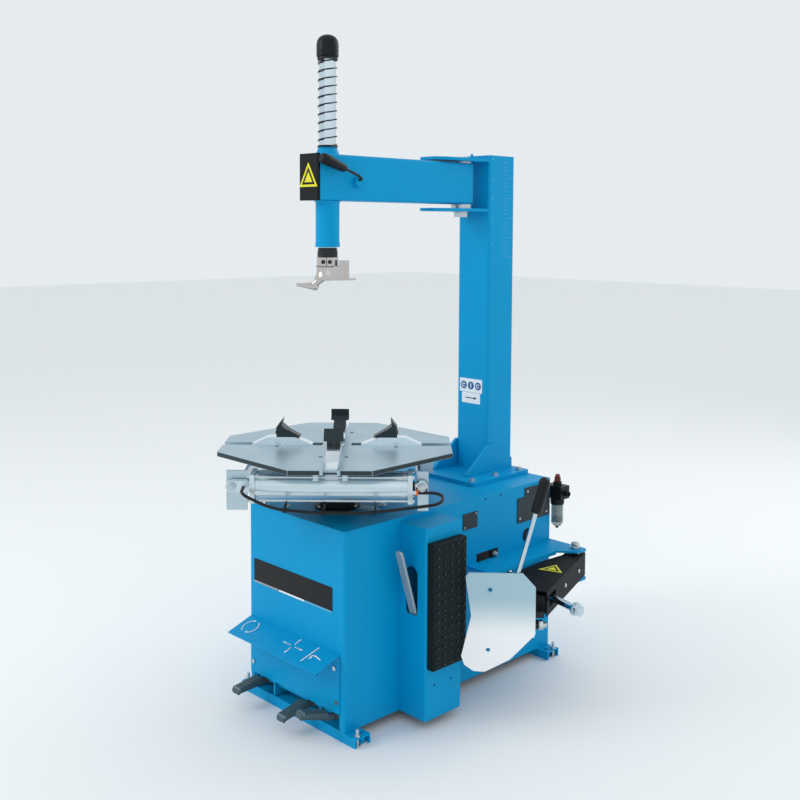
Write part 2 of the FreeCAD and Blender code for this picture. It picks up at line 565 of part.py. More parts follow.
def horn(z):
    """A bracket plate welded to the column's front, tapering to a rounded nose over the arm."""
    front = "cab_deep / 2 - col_deep + 0.5"
    plate = prism("XY", [("col_x - col_wide / 2 + 2", front), ("col_x - 52", "horn_front + 40"),
                         ("col_x - 30", "horn_front"), ("col_x + 30", "horn_front"), ("col_x + 52", "horn_front + 40"),
                         ("col_x + col_wide / 2 - 2", front)], "horn_thick", 0, 0, z)
    return cut(plate, rod("pivot_rad + 0.05", 60, "col_x", "pivot_y", f"{z} - 20"))


def make_arm():
    length = "arm_back - arm_front"
    beam = box("2 * arm_half", length, "arm_top - arm_low", "col_x - arm_half", "arm_front", "arm_low")
    room = box("2 * arm_half - 2 * arm_wall", f"{length} - 70", "arm_top - arm_low - 2 * arm_wall",
               "col_x - arm_half + arm_wall", "arm_front - 1", "arm_low + arm_wall")
    rounded = round_edges(beam, 7, lambda edge: abs(edge.BoundBox.YLength - edge.Length) < 1e-6)
    pivot = [fuse(rod("pivot_rad", "horn_top - horn_low + 8", "col_x", "pivot_y", "horn_low - 4"),
                  rod(24, 5, "col_x", "pivot_y", "horn_top + 0.1")),
             cut(fuse(rod(25, 3, "col_x", "pivot_y", "horn_low - 3.2"),
                      hexagon(21, 14, "col_x", "pivot_y", "horn_low - 17.4")),
                 rod("pivot_rad + 0.05", 40, "col_x", "pivot_y", "horn_low - 14"))]
    for low, high in (("horn_low + horn_thick + 0.2", "arm_low - 0.2"),
                      ("arm_top + 0.2", "horn_top - horn_thick - 0.2")):
        pivot.append(ring("pivot_rad + 0.3", 34, f"{high} - ({low})", "col_x", "pivot_y", low))
    finish("arm_pivot", group(*pivot))
    bore = hexagon("hex_half + 0.4", 400, "col_x", "shaft_y", "sleeve_low - 20")
    tube = rod("sleeve_rad", "arm_top - sleeve_low", "col_x", "shaft_y", "sleeve_low")
    dome = cone("sleeve_rad", 25, "boss_top - arm_top", "col_x", "shaft_y", "arm_top")
    side = value("col_x + arm_half")
    boss = rod(15, 12, side - 2, -225, 1468, "x")
    hinge = rod(33, "arm_top - arm_low", "col_x", "pivot_y", "arm_low")
    finish("swing_arm", cut(fuse(cut(rounded, room), tube, dome, boss, hinge), bore,
                            rod("pivot_rad + 0.05", 300, "col_x", "pivot_y", "arm_low - 50"),
                            rod(7.05, 60, side - 8, -225, 1468, "x")))
    cover = box("2 * arm_half + 1", 8, "arm_top - arm_low + 1", "col_x - arm_half - 0.5", "arm_front - 4",
                "arm_low - 0.5")
    inner = box("2 * arm_half - 6", 30, "arm_top - arm_low - 6", "col_x - arm_half + 3", "arm_front - 1",
                "arm_low + 3")
    arm_room = box("2 * arm_half + 0.4", 30, "arm_top - arm_low + 0.4", "col_x - arm_half - 0.2", "arm_front - 0.2",
                   "arm_low - 0.2")
    finish("arm_end_cover", cut(round_edges(cover, 5, lambda edge: upright(edge)
                                            and edge.BoundBox.YMax < value("arm_front - 2")), inner, arm_room))


def make_lock_lever():
    side = value("col_x + arm_half")
    hub = Vector(side, -225, 1468)
    way = Vector(0, -math.cos(math.radians(22)), math.sin(math.radians(22)))
    start = hub + Vector(18, 0, 0)
    stalk = doc.addObject("Part::Feature", "Stalk")
    stalk.Shape = Part.makeCylinder(5, 100, start, way)
    pin = fuse(stalk, rod(7, 23, side - 3, hub.y, hub.z, "x"), ball(10, side + 18, hub.y, hub.z))
    grip = doc.addObject("Part::Feature", "Grip")
    shape = Part.makeCone(9, 12.5, 62, start + way * 88, way)
    shape = shape.fuse(Part.makeSphere(12.5, start + way * 150))
    bore = Part.makeCylinder(5.05, 14, start + way * 87, way)
    grip.Shape = shape.cut(bore).removeSplitter()
    finish("lock_lever", group(pin, grip))


def make_shaft():
    x, y = "col_x", "shaft_y"
    finish("hex_shaft", hexagon("hex_half", "shaft_top - shaft_low", x, y, "shaft_low"))
    knob = turned([(0, 0), ("knob_rad", 0), ("knob_rad", 34), ("knob_rad * 0.93", 46), ("knob_rad * 0.7", 57),
                   ("knob_rad * 0.36", "knob_top - knob_low - 1.5"), (0, "knob_top - knob_low")], x, y, "knob_low")
    finish("top_knob", knob)
    coil = doc.addObject("Part::Feature", "Coil")
    radius, wire = value("spring_rad"), value("spring_wire")
    low, high = value("boss_top") + wire + 0.3, value("spring_top") - wire - 0.3
    helix = Part.makeHelix((high - low) / value("spring_turns"), high - low, radius)
    # an eight-sided wire section
    rim = [Vector(radius + wire * math.cos(k * math.pi / 4), 0, wire * math.sin(k * math.pi / 4)) for k in range(9)]
    coil.Shape = Part.Wire(helix).makePipeShell([Part.makePolygon(rim)], True, True)
    coil.Placement = Placement(Vector(value(x), value(y), low), Rotation())
    finish("return_spring", coil)
    collar = cut(rod(28, 16.5, x, y, 1260.2), hexagon("hex_half + 0.1", 40, x, y, 1250))
    finish("shaft_collar", group(collar, rod(28, 4.6, x, y, "shaft_top + 0.2")))


def make_head():
    """Mount and demount head: clamp block, curved shoe and duck-bill nose, made along +X."""
    block = cut(fuse(rod(30, 24, 0, 0, 1236), slab(34, 54, 24, -2, -12, 1236)),
                *[rod(5, 12, side * 9, -45, 1248, "y") for side in (-1, 1)])
    # the shoe is a curved wall that hugs the rim, swept round an axis ahead of the shaft
    shoe = doc.addObject("Part::Feature", "Shoe")
    low = value("head_low")
    centre = Vector(6, 62, low)
    wall = Part.makeCylinder(88, 39, centre).cut(Part.makeCylinder(76, 39, centre))
    lip = Part.makeCylinder(96, 5, centre).cut(Part.makeCylinder(76, 5, centre))
    sector = Part.makeBox(86, 90, 80, Vector(-26, -60, low - 10))
    flange = lip.common(Part.makeBox(108, 90, 80, Vector(-30, -60, low - 10)))
    wing = Part.makeCylinder(88, 55, centre).cut(Part.makeCylinder(76, 55, centre))
    wing = wing.common(Part.makeBox(28, 90, 80, Vector(32, -60, low - 10)))
    shoe.Shape = wall.common(sector).fuse([wing, flange]).removeSplitter()
    nose = doc.addObject("Part::Feature", "Nose")
    tip, root = Vector(-82, -14, 1184), Vector(-34, -14, 1180)
    way = (tip - root).normalize()
    shape = Part.makeCone(11.5, 4, (tip - root).Length, root, way).fuse(Part.makeSphere(11.5, root))
    shape = shape.fuse(Part.makeSphere(4, tip))
    neck = Part.makeCone(9, 12, 34, Vector(-36, -14, 1184), Vector(0.55, 0, 0.5))
    nose.Shape = shape.fuse(neck).removeSplitter()
    finish("mount_head", fuse(block, shoe, nose), "col_x", "shaft_y", 0, z_turn(value("table_turn")))


# ---------------------------------------------------------------- bead breaker

def make_bead_mounts():
    side, back = "cab_wide / 2 + 0.2", "cab_deep / 2"
    shelf = prism("XY", [(side, "shelf_front"), ("shelf_out", "shelf_front"), ("shelf_out", "bead_y - 62"),
                         ("ear_out - 8", "bead_y - 22"), ("ear_out", "bead_y - 8"), ("ear_out", f"{back} - 8"),
                         ("ear_out - 8", back), (side, back)], "shelf_thick", 0, 0, "shelf_top - shelf_thick")
    lip = box(3, "bead_y - 62 - shelf_front", 11, "shelf_out - 3", "shelf_front", "shelf_top - 11")
    upper = cut(fuse(shelf, lip), rod(10.05, 40, "bead_x", "bead_y", "shelf_top - 20"))
    lower = prism("XY", [(side, "bead_y - 70"), ("bead_x", "bead_y - 34"), ("ear_out", "bead_y - 18"),
                         ("ear_out", f"{back} - 8"), ("ear_out - 8", back), (side, back)], 8, 0, 0, 272)
    finish("bead_bracket", group(upper, cut(lower, rod(10.05, 40, "bead_x", "bead_y", 260))))
    pivot = fuse(rod(10, "shelf_top - 262", "bead_x", "bead_y", 264), rod(13, 6, "bead_x", "bead_y", "shelf_top + 0.1"))
    trunnion = fuse(rod(8, 78, "trunnion_x", "trunnion_y", "rod_z - 39"),
                    slab(60, 60, 8, "trunnion_x", "trunnion_y", "rod_z - 47"),
                    slab(60, 60, 8, "trunnion_x", "trunnion_y", "rod_z + 39"),
                    box(10, 60, 94, "trunnion_x - 40", "trunnion_y - 30", "rod_z - 47"))
    finish("bead_pins", group(pivot, trunnion))


def bead_turn():
    return z_turn(value("bead_turn"))


def make_bead_arm():
    """Made with the arm along -Y from the pivot at the local origin, then swung out."""
    low, top, far = "bead_low", "bead_top", "-bead_long"
    beam = box(44, "bead_long", 50, -22, far, "bead_low + 6")
    eye = rod(21, "bead_top - bead_low - 10", 0, 0, "bead_low + 1")
    bores = [rod(10.3, 120, 0, 0, 260)]
    # the ram passes through on a local line that turns with the arm, so the way through is a long slot
    window = box(120, 78, 30, -60, -342, "rod_z - 15")
    arm = at(group(cut(fuse(beam, eye), *bores, window)), "bead_x", "bead_y", 0, bead_turn())
    # the knuckle lies square to the blade, between the blade's two lugs
    square = z_turn(value("blade_turn"))
    knuckle = cut(fuse(box(25, 28, 56, -63, 38, 246), box(65, 44, 17, -63, 40, 285)),
                  rod(8.05, 60, -80, "bolt_back", "bolt_high", "x"))
    knuckle = at(group(knuckle), "blade_x", "blade_y", 0, square)
    bolt = fuse(rod(8, 70, -75, "bolt_back", "bolt_high", "x"),
                hexagon(12, 8, -84.5, "bolt_back", "bolt_high", "x"),
                hexagon(12, 12, -25, "bolt_back", "bolt_high", "x"))
    bolt = at(group(bolt), "blade_x", "blade_y", 0, square)
    finish("bead_arm", group(fuse(arm, knuckle), bolt))
    hood = prism("XY", [(-26, 22), (20, 22), (28, 14), (28, "-bead_long"), (-105, "-bead_long"), (-105, -250),
                        (-60, -110), (-28, -40)], f"{top} - {low}", 0, 0, low)
    room = prism("XY", [(-23, 30), (17, 30), (25, 14), (25, "-bead_long - 10"), (-140, "-bead_long - 10"),
                        (-140, -200), (-57, -110), (-25, -40)], f"{top} - {low} - 3 + 5", 0, 0, f"{low} - 5")
    window_out = box(60, 58, 34, 0, -350, "rod_z - 17")
    window_in = box(160, 90, 60, -160, -360, f"{low} - 5")
    top_hole = rod(14, 60, 0, 0, 330)
    finish("bead_arm_cover", cut(hood, room, window_out, window_in, top_hole), "bead_x", "bead_y", 0, bead_turn())


def make_bead_cylinder():
    """Made along +X from the trunnion at the local origin, then turned to the ram's line."""
    turn = z_turn(value("rod_turn"))
    z = "rod_z"
    place = ("trunnion_x", "trunnion_y", 0, turn)
    barrel = cut(rod(80, 150, 46, 0, z, "x"), rod(75, 130, 56, 0, z, "x"), rod("rod_rad + 0.4", 60, 150, 0, z, "x"))
    lugs = fuse(box(60, 40, 40, -12, -20, f"{z} - 20"), rod(20, 40, 0, 0, f"{z} - 20"))
    finish("bead_cylinder", cut(fuse(barrel, lugs), rod(8.05, 60, 0, 0, f"{z} - 30")), *place)
    finish("bead_ram", fuse(rod("rod_rad", "rod_reach - 172", 172, 0, z, "x"), rod(74.5, 12, 162, 0, z, "x"),
                            hexagon(15, 14, "rod_reach - 16", 0, z, "x"), rod(19, 5, "rod_reach - 20.2", 0, z, "x")),
           *place)


def make_blade():
    """Made with the blade's face in the local XZ plane and the tilt bolt along X, then turned."""
    turn = z_turn(value("blade_turn"))
    place = ("blade_x", "blade_y", 0, turn)
    face = prism("XZ", [(-205, 419), (-60, 420), (-25, 382), (-25, 254), (-92, 184), (-160, 148), (-190, 150),
                        (-214, 166), (-223, 190), (-197, 301), (-212, 400), (-212, 410)], "blade_thick", 0,
                 "blade_thick", 0)
    holes = [rod(6, 60, x, -30, z, "y") for x, z in ((-147, 374), (-151, 209))]
    lugs = []
    for start, wide in ((-75, 10), (-36, 9)):
        lugs.append(box(wide, "bolt_back - blade_thick + 0.5", "2 * lug_rad", start, "blade_thick - 0.5",
                        "bolt_high - lug_rad"))
        lugs.append(rod("lug_rad", wide, start, "bolt_back", "bolt_high", "x"))
    finish("bead_blade", cut(fuse(cut(face, *holes), *lugs), rod(8.3, 120, -130, "bolt_back", "bolt_high", "x")),
           *place)
    handle = doc.addObject("Part::Feature", "Handle")
    foot, top = Vector(-96, 12.2, 330), Vector(-2, 12.2, 676)
    way = (top - foot).normalize()
    handle.Shape = Part.makeCylinder(6, 300, foot, way)
    grip = doc.addObject("Part::Feature", "Grip")
    start = foot + way * 262
    shape = Part.makeCylinder(15, 86, start, way).fuse(Part.makeSphere(15, start + way * 86))
    grip.Shape = shape.cut(Part.makeCylinder(6, 38, start, way)).removeSplitter()
    finish("blade_handle", group(handle, grip), *place)


def make_air_unit():
    x, y = 212, 458
    gauge = fuse(rod(16, 12, x, y + 21.5, 514, "y"), rod(14, 2, x, y + 33, 514, "y"))
    bracket = fuse(box(34, 3, 40, 169, "cab_deep / 2", 495), box(3, 30, 40, 181, "cab_deep / 2", 495))
    body = fuse(slab(60, 44, 40, x, y, 494), rod(22, 14, x, y, 481), rod(13, 12, x, y, 533),
                rod(8, 90, x - 45, y, 512, "x"), gauge, bracket)
    finish("air_unit_body", cut(body, rod(5.7, 14, x + 33, y, 512, "x")))
    bowl = cut(fuse(rod(19, 65.8, x, y, 415), cone(12, 19, 10, x, y, 405)), rod(16, 80, x, y, 418))
    finish("air_unit_bowl", bowl)
    finish("regulator_knob", fuse(rod(9, 14, x, y, 546), rod(7, 8, x, y, 560)))


# ---------------------------------------------------------------- clamp hoses

def make_hoses():
    """Air hoses of the two clamp cylinders, each held at both ends by its own cylinder's caps."""
    route = [(-226, -258, -60), (-226, -297, -66), (-150, -303, -102), (-25, -305, -113), (105, -307, -110),
             (206, -318, -94), (283, -320, -83), (285, -255, -72), (222.3, -255, -72)]
    for side, name in ((0, "front"), (1, "back")):
        hose = pipe(route, 4)
        finish("clamp_hose_" + name, hose, 0, "table_y", "table_top", z_turn(value("table_turn") + 180 * side))


def write_all():
    doc.recompute()
    os.makedirs("parts", exist_ok=True)
    for item in doc.Objects:
        if "Invalid" in item.State or "Error" in item.State:
            raise RuntimeError(f"{item.Name} ({item.Label}) failed: {item.State}")
    for item in finished:
        if item.Shape.isNull() or not item.Shape.isValid():
            raise RuntimeError(f"{item.Label} has no valid shape")
    for item in finished:
        item.Shape.exportStep(f"parts/{item.Label}.step")
    print(len(finished), "pieces written")


make_cabinet()
make_front()
make_side_box()
make_pedals()
make_drive()
make_table()
for quarter_index in range(4):
    make_slide(quarter_index)
make_cam()
for which in (0, 1):
    make_cylinder(which)
make_column()
make_arm()
make_lock_lever()
make_shaft()
make_head()
make_bead_mounts()
make_bead_arm()
make_bead_cylinder()
make_blade()
make_air_unit()
make_hoses()
finish("frame_bolts", group(*bolts))
write_all()
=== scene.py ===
"""Looks of the swing-arm tyre changer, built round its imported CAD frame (metres, +Z up)."""
import math

import bmesh
import bpy
from mathutils import Matrix, Vector


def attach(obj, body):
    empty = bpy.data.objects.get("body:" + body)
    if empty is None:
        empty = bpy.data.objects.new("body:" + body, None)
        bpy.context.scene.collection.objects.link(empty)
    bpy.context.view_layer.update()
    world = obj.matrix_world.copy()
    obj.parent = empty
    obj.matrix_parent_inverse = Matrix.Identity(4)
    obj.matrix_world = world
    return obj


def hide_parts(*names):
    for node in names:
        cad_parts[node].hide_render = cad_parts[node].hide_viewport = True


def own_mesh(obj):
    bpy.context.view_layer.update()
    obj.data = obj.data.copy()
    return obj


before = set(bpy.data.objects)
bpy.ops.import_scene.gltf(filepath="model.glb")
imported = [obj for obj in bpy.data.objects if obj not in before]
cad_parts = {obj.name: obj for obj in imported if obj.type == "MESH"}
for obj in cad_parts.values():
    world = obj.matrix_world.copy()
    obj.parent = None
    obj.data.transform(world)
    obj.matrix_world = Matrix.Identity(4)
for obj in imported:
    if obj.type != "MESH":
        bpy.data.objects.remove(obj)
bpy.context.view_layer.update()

# Driving dimensions of the machine, in millimetres and degrees; MM turns them into metres.
MM = 0.001
CABINET_TOP, CABINET_SIDE, CABINET_FRONT = 560, 204, -430.2
GUARD_FRONT, HOOD_FRONT, HOOD_LOW = -434.2, -433, 232.7
PAD_FACE, PAD_LOW, PAD_HIGH, PAD_FRONT, PAD_WIDE = 329.0, 168, 510, -224, 127
SOCKET_LOW, SOCKET_HIGH = (250, -216.1, 288), (250, -280, 490)
PEDAL_Y, PEDAL_Z = -408, 56
TABLE, TABLE_TURN = (0, -278, 737), 45.7
TABLE_FAR, TABLE_HALF, SLOT_HALF = 318.15, 106.55, 26
CLAMP_OFF, CLAMP_DROP, CLAMP_RADIUS = -230, -62, 33.8
COLUMN_X, COLUMN_FRONT, COLUMN_SIDE, COLUMN_TOP, LABEL_Z = -18, 307.95, 46.05, 1568, 839
ARM_FRONT, SHAFT_Y, LOCK_Y, LOCK_Z = -366.1, -298, -225, 1468
HEAD_TOP, SLEEVE_TOP, KNOB_LOW = 1236, 1562, 1805
BREAKER_PIVOT, BREAKER_TURN = (322, 405, 0), 20.2
RAM_BACK, RAM_TURN = (-40, 235, 321), -13.75
BLADE_SPOT, BLADE_TURN = (505, 20, 0), 43
AIR_X, AIR_Y = 212, 458


# ---------------------------------------------------------------- materials

def material(name, base, rough, metal=0.0, coat=0.0, vary=0.06, bump=0.02, grain=180.0, stretch=(1, 1, 1),
             spread=0.08, gleam=0.3):
    """A principled surface whose tone, gloss and height vary with procedural noise."""
    made = bpy.data.materials.new(name)
    made.use_nodes = True
    nodes, links = made.node_tree.nodes, made.node_tree.links
    shader = nodes["Principled BSDF"]
    shader.inputs["Metallic"].default_value = metal
    shader.inputs["Coat Weight"].default_value = coat
    shader.inputs["Coat Roughness"].default_value = 0.12
    shader.inputs["Specular IOR Level"].default_value = gleam
    origin = nodes.new("ShaderNodeTexCoord")
    scale = nodes.new("ShaderNodeMapping")
    scale.inputs["Scale"].default_value = stretch
    links.new(origin.outputs["Object"], scale.inputs["Vector"])
    fine, broad = nodes.new("ShaderNodeTexNoise"), nodes.new("ShaderNodeTexNoise")
    fine.inputs["Scale"].default_value = grain
    fine.inputs["Detail"].default_value = 5
    broad.inputs["Scale"].default_value = 7
    broad.inputs["Detail"].default_value = 3
    links.new(scale.outputs["Vector"], fine.inputs["Vector"])
    links.new(origin.outputs["Object"], broad.inputs["Vector"])
    tone = nodes.new("ShaderNodeMix")
    tone.data_type = "RGBA"
    tone.inputs["A"].default_value = (*[max(0, c * (1 - vary)) for c in base], 1)
    tone.inputs["B"].default_value = (*[min(1, c * (1 + vary)) for c in base], 1)
    links.new(broad.outputs["Fac"], tone.inputs["Factor"])
    links.new(tone.outputs["Result"], shader.inputs["Base Color"])
    gloss = nodes.new("ShaderNodeMapRange")
    gloss.inputs["To Min"].default_value = max(0.02, rough - spread)
    gloss.inputs["To Max"].default_value = min(1, rough + spread)
    links.new(fine.outputs["Fac"], gloss.inputs["Value"])
    links.new(gloss.outputs["Result"], shader.inputs["Roughness"])
    if bump:
        height = nodes.new("ShaderNodeBump")
        height.inputs["Strength"].default_value = bump
        height.inputs["Distance"].default_value = 0.0006
        links.new(fine.outputs["Fac"], height.inputs["Height"])
        links.new(height.outputs["Normal"], shader.inputs["Normal"])
    return made


def paint_shade_by_height(made, low, high, shade_tint):
    """Paint shade into a surface's colour: darken it by the given tint between two heights in metres, towards
    the second height.
    """
    nodes, links = made.node_tree.nodes, made.node_tree.links
    shader = nodes["Principled BSDF"]
    tone = shader.inputs["Base Color"].links[0].from_socket
    spot, axes, slope = (nodes.new("ShaderNode" + kind) for kind in ("TexCoord", "SeparateXYZ", "MapRange"))
    slope.interpolation_type = "SMOOTHSTEP"
    slope.inputs["From Min"].default_value = low
    slope.inputs["From Max"].default_value = high
    links.new(spot.outputs["Object"], axes.inputs["Vector"])
    links.new(axes.outputs["Z"], slope.inputs["Value"])
    mix = nodes.new("ShaderNodeMix")
    mix.data_type = "RGBA"
    mix.blend_type = "MULTIPLY"
    mix.inputs["B"].default_value = (*shade_tint, 1)
    links.new(slope.outputs["Result"], mix.inputs["Factor"])
    links.new(tone, mix.inputs["A"])
    links.new(mix.outputs["Result"], shader.inputs["Base Color"])
    return made


def plain(name, tint, rough, through=0.0):
    """An even surface, clear where through is above nought."""
    made = bpy.data.materials.new(name)
    made.use_nodes = True
    shader = made.node_tree.nodes["Principled BSDF"]
    shader.inputs["Base Color"].default_value = (*tint, 1)
    shader.inputs["Roughness"].default_value = rough
    shader.inputs["Transmission Weight"].default_value = through
    shader.inputs["IOR"].default_value = 1.46
    return made


BLUE = material("blue_paint", (0.0, 0.315, 0.62), 0.45, coat=0.03, vary=0.05, bump=0.05, grain=420, gleam=0.1)
STEEL = material("table_steel", (0.41, 0.54, 0.61), 0.36, metal=0.85, vary=0.20, bump=0.04, grain=60,
                 stretch=(1, 9, 9))
# painted shade: the blade's colour darkens towards its top, where its curved face turns from the light
BLADE = paint_shade_by_height(material("blade_steel", (0.97, 0.98, 0.99), 0.46, metal=0.25, vary=0.02, bump=0.04, grain=200,
                        stretch=(10, 10, 1)), 0.24, 0.36, (0.42, 0.60, 0.68))
# painted shade: the slides' colour darkens below the table's top, on their undersides and on the guides
# beneath the table
SLIDE = paint_shade_by_height(material("slide_steel", (0.84, 0.90, 0.94), 0.28, metal=0.85, bump=0.0, grain=40, spread=0.04),
               0.727, 0.715, (0.58, 0.67, 0.71))
JAW = material("jaw_steel", (0.035, 0.05, 0.055), 0.36, metal=0.7, bump=0.06, grain=240)
DARK = material("dark_steel", (0.03, 0.034, 0.038), 0.46, metal=0.6, bump=0.08, grain=260)
CAST = material("cast_grey", (0.10, 0.11, 0.12), 0.55, metal=0.3, bump=0.25, grain=320)
ALLOY = material("cylinder_alloy", (0.62, 0.73, 0.78), 0.30, metal=0.85, vary=0.03, bump=0.02, grain=240,
                 stretch=(1, 14, 14))
CHROME = material("chrome", (0.58, 0.68, 0.74), 0.14, metal=1, vary=0.03, bump=0.0, grain=30, spread=0.04)
ZINC = material("zinc", (0.58, 0.63, 0.65), 0.28, metal=0.95, vary=0.10, bump=0.0, grain=60, spread=0.05)
HEAD = material("head_steel", (0.60, 0.56, 0.54), 0.20, metal=1, vary=0.25, bump=0.0, grain=25, spread=0.08)
LEVER = material("lever_steel", (0.40, 0.47, 0.50), 0.40, metal=0.5, vary=0.06, bump=0.0)
BLACK = material("black_plastic", (0.006, 0.008, 0.009), 0.42, bump=0.12, grain=700, gleam=0.22)
GLOSSY = material("black_gloss", (0.004, 0.005, 0.006), 0.24, bump=0.0, vary=0.1, gleam=0.2)
COVER = material("black_cover", (0.003, 0.004, 0.005), 0.55, bump=0.16, grain=620, gleam=0.12)
PEDAL = material("pedal_grey", (0.055, 0.10, 0.115), 0.46, metal=0.1, bump=0.12, grain=380, vary=0.2)
TOE = material("pedal_toe", (0.14, 0.19, 0.20), 0.40, metal=0.1, bump=0.05, grain=380, vary=0.15)
RUBBER = material("rubber", (0.004, 0.010, 0.012), 0.62, bump=0.2, grain=500, spread=0.12, gleam=0.2)
HOSE = material("hose", (0.004, 0.006, 0.008), 0.36, bump=0.04)
PLATE = material("plate_grey", (0.022, 0.038, 0.045), 0.5, bump=0.08, grain=500, vary=0.2)
WHITE = material("white_print", (0.80, 0.86, 0.90), 0.5, vary=0.01, bump=0.0)
YELLOW = material("yellow_print", (0.78, 0.72, 0.02), 0.45, vary=0.02, bump=0.0)
PALE_BLUE = material("pale_blue_print", (0.10, 0.42, 0.66), 0.45, vary=0.02, bump=0.0)
DEEP_BLUE = material("deep_blue_print", (0.0, 0.10, 0.30), 0.45, vary=0.02, bump=0.0)
GREY_PRINT = material("grey_print", (0.32, 0.36, 0.38), 0.5, vary=0.02, bump=0.0)
STUD = material("stud_tip", (0.11, 0.17, 0.18), 0.4, vary=0.1, bump=0.0)
RED = material("red_knob", (0.16, 0.03, 0.02), 0.40, bump=0.05)
ORANGE = material("orange_ring", (0.75, 0.16, 0.03), 0.38, bump=0.02)
BOWL = plain("clear_bowl", (0.45, 0.52, 0.50), 0.06, 0.75)
BRASS = material("brass", (0.55, 0.40, 0.18), 0.30, metal=1, bump=0.02)
# painted shade: a near-black colour for holes and slits, where their insides lie in shade
HOLE_SHADE = material("painted_hole_shade", (0.004, 0.012, 0.03), 0.7, bump=0.0)

LOOKS = {
    "cabinet_shell": BLUE, "front_cover": BLUE, "rear_cover": BLUE, "pad_box": BLUE, "pedal_guard": BLUE,
    "feet": BLUE, "column": BLUE, "swing_arm": BLUE, "bead_bracket": BLUE, "bead_arm": DARK,
    "side_plates": PLATE, "pedal_frame": BLUE, "table_plate": STEEL, "bead_blade": BLADE,
    "table_hub": DARK, "cam_plate": DARK, "bead_pins": ZINC, "arm_pivot": ZINC,
    "jaw_slide_right": SLIDE, "jaw_slide_left": SLIDE, "jaw_slide_front": SLIDE, "jaw_slide_back": SLIDE,
    "clamp_barrel_front": ALLOY, "clamp_barrel_back": ALLOY, "clamp_ram_front": CHROME,
    "clamp_ram_back": CHROME, "hex_shaft": CHROME, "bead_ram": CHROME, "tyre_lever": LEVER,
    "blade_handle": CHROME, "frame_bolts": ZINC, "return_spring": DARK, "shaft_collar": DARK,
    "top_knob": BLACK, "arm_end_cover": GLOSSY, "bead_arm_cover": COVER, "air_unit_body": BLACK,
    "lock_lever": BLACK, "pedal_turn": PEDAL, "pedal_clamp": PEDAL, "pedal_bead": PEDAL,
    "regulator_knob": RED, "air_unit_bowl": BOWL, "bead_pad": RUBBER, "drive_belt": RUBBER,
    "clamp_hose_front": HOSE, "clamp_hose_back": HOSE, "gearbox": CAST, "motor": CAST,
    "rotary_union": BLACK, "gearbox_pulley": CAST, "motor_pulley": CAST, "pedal_valves": BLACK,
    "bead_cylinder": CAST, "mount_head": HEAD,
    "jaw_right": JAW, "jaw_left": JAW, "jaw_front": JAW, "jaw_back": JAW,
}
NO_BEVEL = {"clamp_hose_front", "clamp_hose_back", "return_spring", "drive_belt", "frame_bolts"}


def smooth(mesh, degrees=30):
    mesh.polygons.foreach_set("use_smooth", [True] * len(mesh.polygons))
    mesh.set_sharp_from_angle(angle=math.radians(degrees))


# every CAD node gets its material, a fine bevel and shading that follows its flat faces
for name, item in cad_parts.items():
    item.data.materials.clear()
    item.data.materials.append(LOOKS[name])
    if name not in NO_BEVEL:
        edge = item.modifiers.new("edges", "BEVEL")
        edge.width = 0.0008
        edge.segments = 2
        edge.limit_method = "ANGLE"
        edge.angle_limit = math.radians(40)
        edge.use_clamp_overlap = True
        edge.harden_normals = False
    item.modifiers.new("normals", "WEIGHTED_NORMAL").keep_sharp = True


# ---------------------------------------------------------------- building blocks (sizes in millimetres)

def turn(degrees, axis):
    return Matrix.Rotation(math.radians(degrees), 4, axis)


def shift(x, y, z):
    return Matrix.Translation(Vector((x, y, z)) * MM)


def place(x, y, z, degrees=0):
    """A frame at a point, turned about the upright axis."""
    return shift(x, y, z) @ turn(degrees, "Z")


def facing_front(x, y, z):
    """A frame whose local x, y lie in an upright plane and whose local z faces the front."""
    return shift(x, y, z) @ turn(90, "X")


def pointing(foot, top):
    """A frame at foot whose local z runs towards top."""
    return shift(*foot) @ (top - foot).to_track_quat("Z", "Y").to_matrix().to_4x4()


HERE = Matrix.Identity(4)
ON_TABLE = [place(*TABLE, TABLE_TURN + 90 * step) for step in range(4)]
AIM = {"z": HERE, "x": turn(90, "Y"), "y": turn(-90, "X")}


